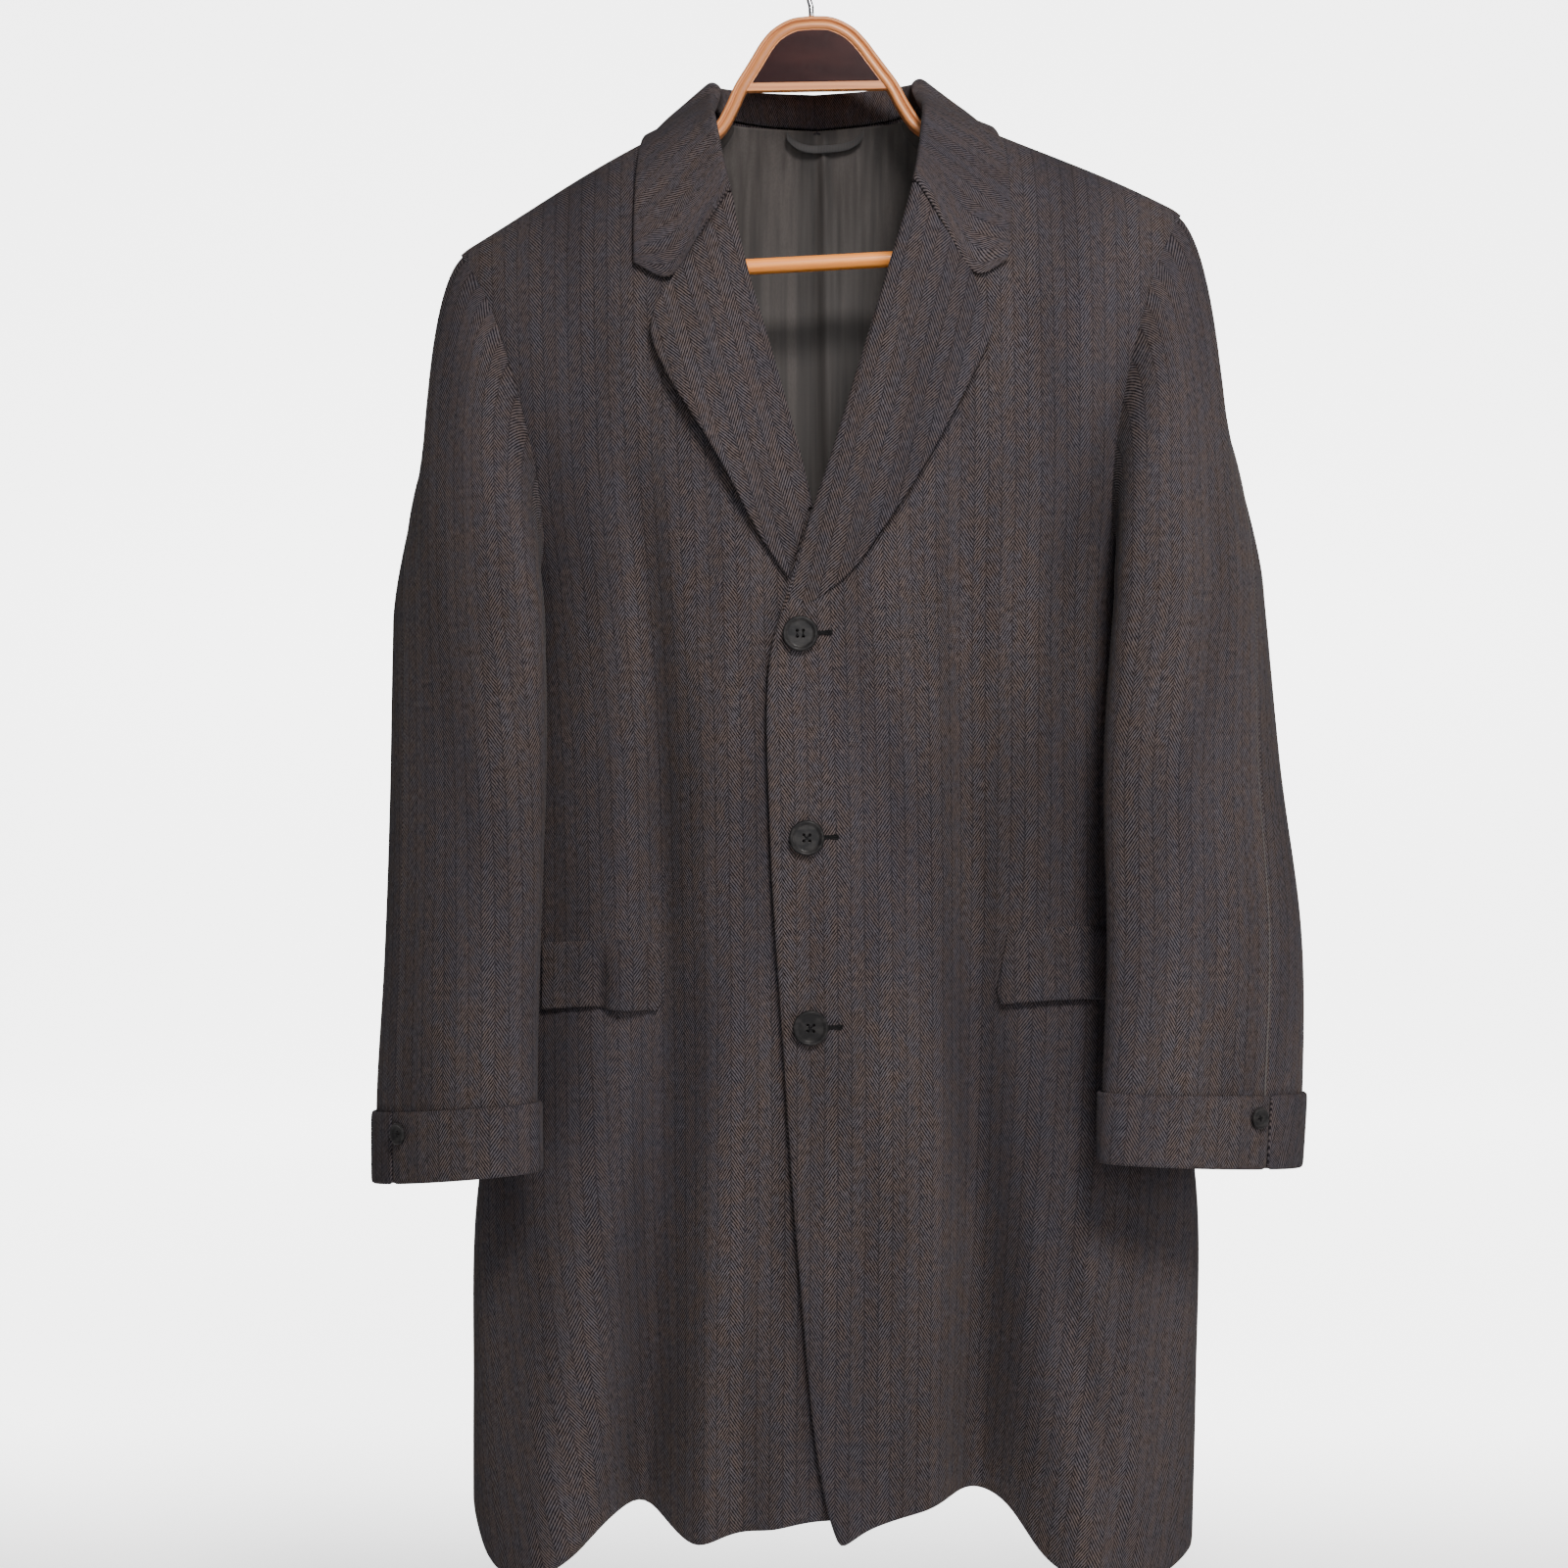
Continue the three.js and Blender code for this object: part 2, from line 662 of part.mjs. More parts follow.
const PANEL_RANGE = { u: [0, 1], v: [0, 3] };
const FRONT_COLUMNS = steps(19);
const BACK_COLUMNS = steps(12);
const PANEL_ROWS = [...steps(12), ...steps(4, 1, 2).slice(1), ...steps(6, 2, 3).slice(1)];

for (const [name, panel] of Object.entries(PANELS)) {
  const isFront = panel.armhole === "front";
  const keep = (p) => {
    p.y = isFront ? Math.min(p.y, -SEAM_GAP) : Math.max(p.y, SEAM_GAP);
    if (!isFront) p.x = panel.side * Math.max(panel.side * p.x, SEAM_GAP / 2);
    return p;
  };
  const side = isFront === panel.side > 0 ? -1 : 1;
  const columns = isFront ? FRONT_COLUMNS : BACK_COLUMNS;
  const surface = (u, v) => panelPoint(u, v, panel);
  add(name, wall(surface, columns, PANEL_ROWS, CLOTH, { side, range: PANEL_RANGE, keep }), "wool");
}

// Sleeves

// Armhole as a closed curve: turn 0 at the shoulder, 90 at the front, 180 under the arm
function armholeAround(turn) {
  const t = ((turn % 360) + 360) % 360;
  const isFront = t <= 180;
  const at = isFront ? 1 - t / 180 : t / 180 - 1;
  const p = armhole(at, isFront ? "front" : "back");
  const y = isFront ? overFrontY(p.x, p.z) : backY(p.x, p.z);
  return new THREE.Vector3(p.x, y, p.z);
}

function sleeveOval(rows, turn, z) {
  const value = (column) => read(rows, "z", z, column);
  const angle = (turn * Math.PI) / 180;
  const lean = (value("lean") * Math.PI) / 180;
  const along = value("long") * Math.sin(angle);
  const out = value("short") * Math.cos(angle);
  return new THREE.Vector3(
    value("x") - along * Math.cos(lean) + out * Math.sin(lean),
    value("y") - along * Math.sin(lean) - out * Math.cos(lean),
    z,
  );
}

function sleeveHemZ(turn) {
  return SLEEVE_HEM_Z + SLEEVE_HEM_RISE * Math.sin((turn * Math.PI) / 180);
}

// v runs 0 to 1 over the sleeve head and 1 to 2 down to the hem
function sleevePoint(rows, turn, v) {
  const around = ((turn % 360) + 360) % 360;
  if (v > 1) return sleeveOval(rows, turn, mix(SLEEVE_TOP_Z, sleeveHemZ(turn), v - 1));
  const value = (column) => read(SLEEVE_HEAD, "turn", around, column);
  const leave = new THREE.Vector3(value("out"), -value("forward"), -value("down"));
  const from = armholeAround(turn).addScaledVector(leave.clone().normalize(), HEAD_GAP);
  const to = sleeveOval(rows, turn, SLEEVE_TOP_Z);
  const fall = -value("fall");
  return new THREE.Vector3(
    hermite(from.x, leave.x, to.x, 0, v),
    hermite(from.y, leave.y, to.y, 0, v),
    hermite(from.z, leave.z, to.z, fall, v),
  );
}

function hindSeam(v) {
  return mix(HIND_SEAM_AT_HEAD, HIND_SEAM_TURN, smooth(v));
}

const SLEEVES = [
  { name: "right", side: -1, rows: SLEEVE_RIGHT },
  { name: "left", side: 1, rows: SLEEVE_LEFT },
];
const SLEEVE_ROWS = [...steps(7), ...steps(8, 1, 2).slice(1)];

function mirrored(p, side) {
  p.x *= side;
  return p;
}

for (const { name, side, rows } of SLEEVES) {
  const onTop = (u, v) => {
    const hind = hindSeam(v) + SEAM_TURN_GAP;
    const forearm = FOREARM_SEAM_TURN - SEAM_TURN_GAP;
    const turn = u < CROWN_SHARE
      ? mix(hind, 0, u / CROWN_SHARE)
      : mix(0, forearm, (u - CROWN_SHARE) / (1 - CROWN_SHARE));
    return mirrored(sleevePoint(rows, turn, v), side);
  };
  const underneath = (u, v) => {
    const turn = mix(FOREARM_SEAM_TURN + SEAM_TURN_GAP, hindSeam(v) + 360 - SEAM_TURN_GAP, u);
    return mirrored(sleevePoint(rows, turn, v), side);
  };
  const range = { u: [-9, 9], v: [0, 2] };
  const inward = { side: side > 0 ? -1 : 1, range };
  const top = wall(onTop, steps(12), SLEEVE_ROWS, CLOTH, inward);
  const under = wall(underneath, steps(12), SLEEVE_ROWS, CLOTH, inward);
  add(`sleeve_top_${name}`, top, "wool");
  add(`sleeve_under_${name}`, under, "wool");
}

// A point of a cuff: the sleeve's surface, moved straight out by the cuff's stand
function cuffPoint(rows, side, turn, share, stand) {
  const rise = Math.sin((turn * Math.PI) / 180);
  const z = mix(CUFF_Z + CUFF_RISE * rise, sleeveHemZ(turn) - SEAM_GAP, share);
  const surface = (a, b) => sleeveOval(rows, a, b);
  const along = surface(turn + 0.5, z).sub(surface(turn - 0.5, z));
  const out = new THREE.Vector3(along.y, -along.x, 0).normalize();
  const middle = new THREE.Vector3(read(rows, "z", z, "x"), read(rows, "z", z, "y"), z);
  const p = surface(turn, z);
  if (p.clone().sub(middle).dot(out) < 0) out.negate();
  return mirrored(p.addScaledVector(out, stand), side);
}

for (const { name, side, rows } of SLEEVES) {
  const first = HIND_SEAM_TURN + CUFF_END_TURN;
  const last = HIND_SEAM_TURN + 360 - CUFF_END_TURN;
  const surface = (u, v) => cuffPoint(rows, side, mix(first, last, u), v, CUFF_STAND);
  const inward = { side: side > 0 ? -1 : 1 };
  add(`cuff_${name}`, wall(surface, steps(24), steps(3), TURNED_CLOTH, inward), "wool");
}

// Lapels

const LAPELS = [
  { name: "lapel_left", side: 1, rows: counted(OVER_LAPEL), y: overFrontY, lift: LAPEL_LIFT },
  { name: "lapel_right", side: -1, rows: counted(UNDER_LAPEL), y: underFrontY, lift: UNDER_LAPEL_LIFT },
];

function lapelPoint(lapel, u, v) {
  const value = (column) => read(lapel.rows, "at", v, column);
  const x = mix(value("roll"), value("edge"), u);
  const z = mix(value("rollZ"), value("edgeZ"), u);
  const rise = mix(TURNED_CLOTH + ROLL_GAP, lapel.lift, smooth(u / LAPEL_ROLL_SHARE));
  const roll = Math.sin((Math.PI / 2) * clamp(u / LAPEL_ROLL_SHARE, 0, 2));
  const lift = rise + LAPEL_ROLL_LIFT * roll;
  return new THREE.Vector3(lapel.side * x, lapel.y(x, z) - lift, z);
}

for (const lapel of LAPELS) {
  const surface = (u, v) => lapelPoint(lapel, u, v);
  const inward = { side: lapel.side > 0 ? 1 : -1, range: { u: [0, 1], v: [0, 1] } };
  add(lapel.name, wall(surface, steps(6), steps(14), TURNED_CLOTH, inward), "wool");
}

// Collar

const COLLAR_CURVE = counted(COLLAR);

// Where the neck seam or the fold runs: along the roll line in front, by the table behind
function collarLine(at, z, part) {
  const value = (column) => read(COLLAR_BACK, "at", at, part + column);
  const behind = new THREE.Vector3(value("X"), value("Y"), z);
  if (at >= 0.5) return behind;
  const roll = read(OVER_EDGE, "z", z, "x");
  const isSeam = part === "seam";
  const inset = isSeam ? mix(COLLAR_END_INSET, COLLAR_SEAM_INSET, smooth(at / COLLAR_END_SHARE)) : 1;
  const y = overFrontY(roll, z) + (isSeam ? CLOTH : -LAPEL_LIFT);
  const turned = smooth((at - COLLAR_FRONT_SHARE) / (0.5 - COLLAR_FRONT_SHARE));
  return new THREE.Vector3(roll - inset, y, z).lerp(behind, turned);
}

// Cross-section of the collar at a station: up the stand, over the fold, down the leaf
function collarSection(at) {
  const value = (column) => read(COLLAR_CURVE, "at", at, column);
  const seam = collarLine(at, value("seamZ"), "seam");
  const fold = collarLine(at, value("foldZ"), "fold");
  const edge = new THREE.Vector3(value("edgeX"), value("edgeY"), value("edgeZ"));
  const angle = (value("out") * Math.PI) / 2;
  const out = new THREE.Vector3(Math.cos(angle), Math.sin(angle), 0);
  const radius = COLLAR_FOLD_RADIUS;
  const below = new THREE.Vector3(0, 0, -radius);
  const inside = fold.clone().addScaledVector(out, -radius).add(below);
  const outside = fold.clone().addScaledVector(out, radius).add(below);
  const leaf = outside.clone().lerp(edge, 0.5).addScaledVector(out, COLLAR_BULGE);
  return [seam, inside, fold, outside, leaf, edge];
}

// The gorge end runs down the seam to the notch, then out along the collar's own end
function gorgeEnd(w, end) {
  const notch = new THREE.Vector3(end.notchX, 0, end.notchZ);
  const corner = new THREE.Vector3(end.cornerX, 0, end.cornerZ);
  const foldZ = COLLAR[0].foldZ;
  const start = new THREE.Vector3(read(OVER_EDGE, "z", foldZ, "x") + 1, 0, foldZ);
  return w < 0.5 ? start.lerp(notch, w * 2) : notch.lerp(corner, w * 2 - 1);
}

function collarPoint(at, w, ends) {
  const table = collarSection(at).map((p, i) => ({ at: i / 5, x: p.x, y: p.y, z: p.z }));
  const p = new THREE.Vector3(...["x", "y", "z"].map((axis) => read(table, "at", w, axis)));
  const leafShare = clamp((w - COLLAR_FOLD_AT) / (1 - COLLAR_FOLD_AT), 0, 1);
  const endShare = 1 - smooth(at / COLLAR_END_SHARE);
  if (leafShare > 0 && endShare > 0) {
    const end = gorgeEnd(leafShare, ends);
    p.x = mix(p.x, end.x, endShare);
    p.z = mix(p.z, end.z, endShare);
  }
  return lifted(p, at, smooth((w - COLLAR_FOLD_AT + COLLAR_FOLD_BLEND) / COLLAR_FOLD_BLEND));
}

// Keeps the leaf of the collar clear of the panel that it lies on, which rounds over
// the shoulder, so that the clearance is taken upwards as well as outwards
function lifted(p, at, share) {
  const under = p.z - COLLAR_LIFT;
  if (share <= 0 || under > shoulderLine(p.x)) return p;
  const onFront = at < 0.5;
  const level = onFront
    ? overFrontY(p.x, under) - COLLAR_LIFT
    : backY(p.x, under) + COLLAR_LIFT;
  const clear = onFront ? Math.min(p.y, level) : Math.max(p.y, level);
  p.y = mix(p.y, clear, share);
  return p;
}

function collarRound(u, w) {
  const side = u < 0.5 ? -1 : 1;
  const ends = side > 0 ? COLLAR_ENDS.left : COLLAR_ENDS.right;
  return mirrored(collarPoint(1 - Math.abs(2 * u - 1), w, ends), side);
}

const COLLAR_WIDTHS = [0, 0.2, 0.3, 0.4, 0.5, 0.6, 0.7, 0.8, 0.9, 1];
const collarRange = { u: [0, 1], v: [0, 1] };
add(
  "collar",
  wall(collarRound, steps(32), COLLAR_WIDTHS, TURNED_CLOTH, { side: 1, range: collarRange }),
  "wool",
);

// Pocket flaps

const FLAPS = [
  { name: "flap_left", side: 1, y: overFrontY, shift: OVER_FLAP_SHIFT },
  { name: "flap_right", side: -1, y: underFrontY, shift: 0 },
];
for (const { name, side, y, shift } of FLAPS) {
  const surface = (u, v) => {
    const front = FLAP_FRONT + shift - (side > 0 ? FLAP_FRONT_SLANT * v : 0);
    const x = mix(front, FLAP_FAR, u);
    const z = FLAP_TOP_Z - FLAP_HEIGHT * v + FLAP_BOW * (1 - (2 * u - 1) ** 2);
    return new THREE.Vector3(side * x, y(x, z) - FLAP_LIFT, z);
  };
  const inward = { side: side > 0 ? 1 : -1 };
  add(name, wall(surface, steps(7), steps(3), TURNED_CLOTH, inward), "wool");
}

// Lining and hanging loop

function liningSurface(u, v) {
  const z = mix(LINING_TOP_Z, LINING_LOW_Z, v * mix(0.35, 1, v));
  const half = mix(LINING_TOP_HALF, LINING_HALF, smooth(v / 0.75));
  const x = mix(-half, half, u);
  return new THREE.Vector3(x, backY(Math.abs(x), z) - CLOTH - LINING_LEFT_FREE, z);
}

add("lining_back", wall(liningSurface, steps(14), steps(9), LINING, { side: -1 }), "lining");

function loopSurface(u, v) {
  const x = mix(-LOOP_HALF, LOOP_HALF, u);
  const sag = LOOP_SAG * (1 - (x / LOOP_HALF) ** 4);
  const z = LOOP_TOP_Z - sag - LOOP_TALL * v;
  const y = backY(LOOP_X + x, z) - CLOTH - LINING_LEFT_FREE - LINING - LOOP_TAPE;
  return new THREE.Vector3(LOOP_X + x, y, z);
}

add("hanging_loop", wall(loopSurface, steps(8), steps(1), LOOP_TAPE, { side: -1 }), "loop");

// Buttons

// A round of radius r and thickness t with a raised rim, facing +Z from its back at 0
function buttonProfile(r, t) {
  return [
    [0, 0],
    [0.82 * r, 0],
    [r, 0.35 * t],
    [r, 0.75 * t],
    [0.93 * r, t],
    [0.78 * r, t],
    [0.68 * r, 0.72 * t],
    [0, 0.66 * t],
  ].map(([x, y]) => new THREE.Vector2(x, y));
}

function placeButton(name, radius, thick, spot, facing) {
  const geometry = new THREE.LatheGeometry(buttonProfile(radius, thick), BUTTON_STEPS);
  const toFacing = new THREE.Quaternion();
  toFacing.setFromUnitVectors(new THREE.Vector3(0, 1, 0), facing.clone().normalize());
  geometry.applyQuaternion(toFacing);
  const seat = settle(spot);
  geometry.translate(seat.x, seat.y, seat.z);
  add(name, geometry, "button");
}

const towardsFront = new THREE.Vector3(0, -1, 0);
for (const { name, x, z } of BUTTONS) {
  const spot = new THREE.Vector3(x, overFrontY(x, z) - BUTTON_GAP, z);
  placeButton(name, BUTTON_RADIUS, BUTTON_THICK, spot, towardsFront);
}
for (const { name, side, rows } of SLEEVES) {
  const share = (CUFF_BUTTON_Z - CUFF_Z) / (SLEEVE_HEM_Z - CUFF_Z);
  const near = cuffPoint(rows, side, CUFF_BUTTON_TURN, share, CUFF_STAND);
  const far = cuffPoint(rows, side, CUFF_BUTTON_TURN, share, CUFF_STAND + 1);
  const facing = far.clone().sub(near);
  const spot = near.addScaledVector(facing, CUFF_BUTTON_GAP);
  placeButton(`cuff_button_${name}`, CUFF_BUTTON_RADIUS, CUFF_BUTTON_THICK, spot, facing);
}

// Hanger

function bevelledRing(centre, normal, thick, deep) {
  const b = HANGER_BEVEL;
  const corners = [
    [thick, deep - b], [thick - b, deep], [b - thick, deep], [-thick, deep - b],
    [-thick, b - deep], [b - thick, -deep], [thick - b, -deep], [thick, b - deep],
  ];
  return corners.map(([n, y]) =>
    centre.clone().addScaledVector(normal, n).add(new THREE.Vector3(0, y, 0)),
  );
}

function hangerFrame() {
  const line = [...HANGER_LINE.slice(1).reverse().map((p) => ({ ...p, x: -p.x })), ...HANGER_LINE];
  const rings = line.map((p, i) => {
    const before = line[Math.max(i - 1, 0)];
    const after = line[Math.min(i + 1, line.length - 1)];
    const normal = new THREE.Vector3(before.z - after.z, 0, after.x - before.x).normalize();
    return bevelledRing(new THREE.Vector3(p.x, 0, p.z), normal, HANGER_HALF_THICK, p.deep);
  });
  return tube(rings);
}

// The panel that fills the arch, following the inside of the bent wood
function hangerPanel() {
  const inset = HANGER_HALF_THICK + 2 * SEAM_GAP;
  const edge = [];
  for (let i = 0; i < HANGER_LINE.length; i += 1) {
    const here = HANGER_LINE[i];
    const before = i > 0 ? HANGER_LINE[i - 1] : { x: -HANGER_LINE[1].x, z: HANGER_LINE[1].z };
    const after = HANGER_LINE[i + 1];
    const normal = new THREE.Vector3(before.z - after.z, 0, after.x - before.x).normalize();
    const p = new THREE.Vector3(here.x, 0, here.z).addScaledVector(normal, -inset);
    const last = edge[edge.length - 1];
    if (p.z < PANEL_LOW_Z) {
      edge.push(last.clone().lerp(p, (last.z - PANEL_LOW_Z) / (last.z - p.z)));
      break;
    }
    edge.push(p);
  }
  const otherHalf = edge.slice(1).reverse().map((p) => new THREE.Vector3(-p.x, 0, p.z));
  const outline = [...otherHalf, ...edge];
  const face = (y) => outline.map((p) => new THREE.Vector3(p.x, y, p.z));
  return tube([face(-PANEL_THICK / 2), face(PANEL_THICK / 2)]);
}

function roundRing(centre, normal, side, radius, count) {
  return steps(count).slice(0, count).map((t) => {
    const angle = t * 2 * Math.PI;
    return centre
      .clone()
      .addScaledVector(normal, radius * Math.cos(angle))
      .addScaledVector(side, radius * Math.sin(angle));
  });
}

function hangerBar() {
  const reach = HANGER_LINE[HANGER_LINE.length - 1].x - HANGER_HALF_THICK - 5 * SEAM_GAP;
  const up = new THREE.Vector3(0, 0, 1);
  const back = new THREE.Vector3(0, 1, 0);
  const ends = [-reach, reach].map((x) => new THREE.Vector3(x, 0, BAR_Z));
  return tube(ends.map((end) => roundRing(end, up, back, BAR_RADIUS, BAR_STEPS)));
}

function hangerHook() {
  const centre = new THREE.Vector3(0, 0, HOOK_WIRE - HOOK_RADIUS);
  const foot = HANGER_LINE[0].z + HANGER_HALF_THICK + SEAM_GAP;
  const line = [
    new THREE.Vector3(0, 0, foot),
    new THREE.Vector3(0, 0, foot + 8),
    new THREE.Vector3(-1.5, 0, foot + 14),
  ];
  for (const t of steps(HOOK_STEPS, 250, -25)) {
    const angle = (t * Math.PI) / 180;
    const spoke = new THREE.Vector3(Math.cos(angle), 0, Math.sin(angle));
    line.push(centre.clone().addScaledVector(spoke, HOOK_RADIUS));
  }
  const rings = line.map((p, i) => {
    const before = line[Math.max(i - 1, 0)];
    const after = line[Math.min(i + 1, line.length - 1)];
    const along = after.clone().sub(before).normalize();
    const normal = new THREE.Vector3(-along.z, 0, along.x);
    return roundRing(p, normal, new THREE.Vector3(0, 1, 0), HOOK_WIRE, 10);
  });
  return tube(rings);
}

add("hanger_frame", hangerFrame(), "wood");
add("hanger_panel", hangerPanel(), "panel");
add("hanger_bar", hangerBar(), "wood");
add("hanger_hook", hangerHook(), "steel");

export default coat;
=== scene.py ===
"""A wool overcoat on its wooden hanger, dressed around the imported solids.

Sizes are in millimetres in a plumb frame, where the coat is even about x = 0 and z falls
from the hook. settle() leans each point as the hanger leans and turns it into metres.
"""

import functools
import math

import bmesh
import bpy
from mathutils import Matrix, Vector, noise


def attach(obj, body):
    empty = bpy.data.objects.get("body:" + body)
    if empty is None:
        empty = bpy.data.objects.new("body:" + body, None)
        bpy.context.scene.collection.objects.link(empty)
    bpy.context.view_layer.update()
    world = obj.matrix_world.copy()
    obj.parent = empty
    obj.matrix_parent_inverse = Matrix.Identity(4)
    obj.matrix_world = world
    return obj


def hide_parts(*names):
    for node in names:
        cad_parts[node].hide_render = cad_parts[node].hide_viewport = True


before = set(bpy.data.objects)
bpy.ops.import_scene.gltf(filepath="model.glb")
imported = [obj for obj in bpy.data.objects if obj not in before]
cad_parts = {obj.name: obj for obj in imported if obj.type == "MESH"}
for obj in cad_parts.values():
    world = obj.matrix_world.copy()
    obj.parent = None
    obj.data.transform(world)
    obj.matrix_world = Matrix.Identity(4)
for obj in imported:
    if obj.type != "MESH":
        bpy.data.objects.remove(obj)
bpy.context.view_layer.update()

# Cloth
CLOTH = 3.0
CUFF_CLOTH = 3.4
EDGE_CLOTH = CUFF_CLOTH - 0.6
SEAM_GAP = 0.3
LAID = 3.5
SHOULDER_ROUND = 150
NECK_HALF = 81
NECK_Z = -130.6
BACK_NECK_Z = -134
SHOULDER_HALF = 264
SHOULDER_Z = -220.5
SHOULDER_SLOPE = (NECK_Z - SHOULDER_Z) / (SHOULDER_HALF - NECK_HALF)
SHOULDER_PAD = 3
LAP_SPAN = 44
LAP_SINK = 8
UNDERARM_HALF = 226
UNDERARM_Z = -488
HEM_HALF = 262
LEVELLING_ROUNDS = 12
HALVINGS = 24


def clamp(value, low, high):
    return min(high, max(low, value))


def smooth(value):
    t = clamp(value, 0, 1)
    return t * t * (3 - 2 * t)


def mix(a, b, t):
    return a + (b - a) * t


def bump_at(place, middle, spread):
    return math.exp(-(((place - middle) / spread) ** 2))


def steps(count, low=0.0, high=1.0):
    return [mix(low, high, i / count) for i in range(count + 1)]


def hermite(start, leaving, end, arriving, t):
    t2 = t * t
    t3 = t2 * t
    return (
        start * (2 * t3 - 3 * t2 + 1)
        + leaving * (t3 - 2 * t2 + t)
        + end * (3 * t2 - 2 * t3)
        + arriving * (t3 - t2)
    )


class Chart:
    """A table of sizes that is read as a smooth curve through its rows, by its first column."""

    def __init__(self, names, *rows):
        self.names = names.split()
        ordered = sorted(rows)
        self.column = {name: [row[i] for row in ordered] for i, name in enumerate(self.names)}

    @classmethod
    def counted(cls, names, *rows):
        """The same, read by the share of its rows that lie behind a place."""
        last = len(rows) - 1
        return cls("at " + names, *((i / last, *row) for i, row in enumerate(rows)))

    def read(self, name, place):
        places = self.column[self.names[0]]
        values = self.column[name]
        if place <= places[0]:
            return values[0]
        if place >= places[-1]:
            return values[-1]
        i = 0
        while places[i + 1] < place:
            i += 1

        def slope(k):
            return (values[k + 1] - values[k]) / (places[k + 1] - places[k])

        span = places[i + 1] - places[i]
        here = slope(i)
        leaving = (slope(i - 1) + here) / 2 if i > 0 else here
        arriving = (here + slope(i + 1)) / 2 if i + 2 < len(places) else here
        t = (place - places[i]) / span
        return hermite(values[i], leaving * span, values[i + 1], arriving * span, t)


# Widths and depths of the body from the neck to the hem
SECTIONS = Chart(
    "z half front back square",
    (-100, 285, 82, 62, 2.4),
    (-224, 280, 86, 68, 2.4),
    (-350, 255, 88, 76, 2.4),
    (-430, 238, 88, 78, 2.3),
    (UNDERARM_Z, UNDERARM_HALF, 88, 78, 2.2),
    (-600, 225, 87, 76, 2.2),
    (-760, 238, 87, 78, 2.2),
    (-860, 255, 88, 82, 2.25),
    (-930, 264, 90, 86, 2.4),
    (-1060, 264, 92, 92, 2.6),
    (-1190, HEM_HALF, 94, 98, 2.8),
)

# Front edges: the wearer's left front laps over the right one
OVER_EDGE = Chart(
    "z x",
    (-1160, 4), (-1136, -5), (-966, -28), (-794, -41), (-657, -48), (-540, -46), (-513, -40),
    (-486, -29), (-431, -9), (-377, 12), (-307, 34), (-250, 53), (-205, 66), (-165, 75),
    (-130, NECK_HALF),
)
UNDER_EDGE = Chart(
    "z x",
    (-1160, -42), (-560, -44), (-520, -32), (-487, -8), (-435, 11), (-368, 27), (-296, 46),
    (-221, 65), (-165, 76), (-130, NECK_HALF),
)

# Hem heights, by distance from the middle
OVER_HEM = Chart(
    "x z",
    (-10, -1160), (4, -1158), (22, -1146), (50, -1138), (78, -1132), (104, -1131),
    (121, -1137), (145, -1166), (187, -1183), (235, -1186), (262, -1178),
)
UNDER_HEM = Chart(
    "x z",
    (-44, -1142), (19, -1141), (46, -1145), (73, -1148), (101, -1155), (115, -1150),
    (138, -1137), (158, -1142), (183, -1161), (224, -1178), (248, -1172), (262, -1144),
)
BACK_HEM = Chart("x z", (0, -1160), (90, -1154), (180, -1168), (236, -1164), (262, -1146))
BACK_HEM_LEFT = Chart("x z", (0, -1160), (90, -1154), (180, -1168), (236, -1180), (262, -1178))


def fold_charts(*folds):
    """Folds, each a soft trough (depth above 0) or ridge that follows its rows down."""
    return [Chart("z x spread depth", *rows) for rows in folds]


OVER_FOLDS = fold_charts(
    ((-330, 96, 20, 0), (-480, 98, 20, 8), (-830, 101, 24, 17), (-1190, 106, 30, 44)),
    ((-700, 185, 40, 0), (-920, 188, 42, -10), (-1190, 192, 44, -32)),
    ((-850, 136, 11, 0), (-1010, 166, 13, 8), (-1190, 206, 14, 8)),
    ((-380, 88, 14, 0), (-560, 90, 14, 8), (-1190, 98, 17, 18)),
    ((-860, 40, 12, 0), (-1190, 52, 14, 5)),
)
UNDER_FOLDS = fold_charts(
    ((-330, 140, 20, 0), (-480, 130, 20, 10), (-830, 118, 22, 20), (-1000, 124, 26, 30),
     (-1190, 139, 30, 46)),
    ((-700, 190, 36, 0), (-920, 196, 38, -10), (-1190, 206, 40, -32)),
    ((-900, 92, 16, 0), (-1190, 98, 18, -9)),
    ((-380, 136, 10, 0), (-560, 128, 10, 6), (-1190, 141, 12, 14)),
    ((-640, 78, 12, 0), (-900, 70, 12, 4), (-1190, 62, 13, 7)),
)
BACK_FOLDS = fold_charts(
    ((-420, 92, 30, 0), (-800, 88, 32, 10), (-1190, 92, 36, 30)),
    ((-600, 180, 40, 0), (-1190, 186, 44, -18)),
)

# Armhole from the underarm up to the shoulder point
ARMHOLE = Chart.counted(
    "front back z",
    (UNDERARM_HALF, UNDERARM_HALF, UNDERARM_Z), (212, 222, -476), (203, 218, -445),
    (206, 221, -395), (217, 230, -340), (230, 241, -294), (243, 250, -258),
    (SHOULDER_HALF, SHOULDER_HALF, SHOULDER_Z),
)

# Sleeve below the armhole: ovals whose long axis leans from the outer back to the inner front
SLEEVE_ROWS = {
    "right": Chart(
        "z x y long short lean",
        (-500, 260, -46, 81, 37, 50), (-620, 261, -68, 72, 37, 42), (-740, 265, -80, 68, 36, 38),
        (-840, 268, -88, 70, 34, 36), (-910, 267, -92, 71, 33, 36),
    ),
    "left": Chart(
        "z x y long short lean",
        (-500, 258, -46, 82, 37, 50), (-620, 252, -72, 82, 36, 38), (-740, 257, -86, 85, 33, 32),
        (-840, 254, -94, 85, 30, 29), (-910, 251, -98, 82, 29, 28),
    ),
}
SIDES = {"right": -1, "left": 1}
SLEEVE_TOP_Z = -500
SLEEVE_HEM_Z = -893
SLEEVE_HEM_RISE = 8
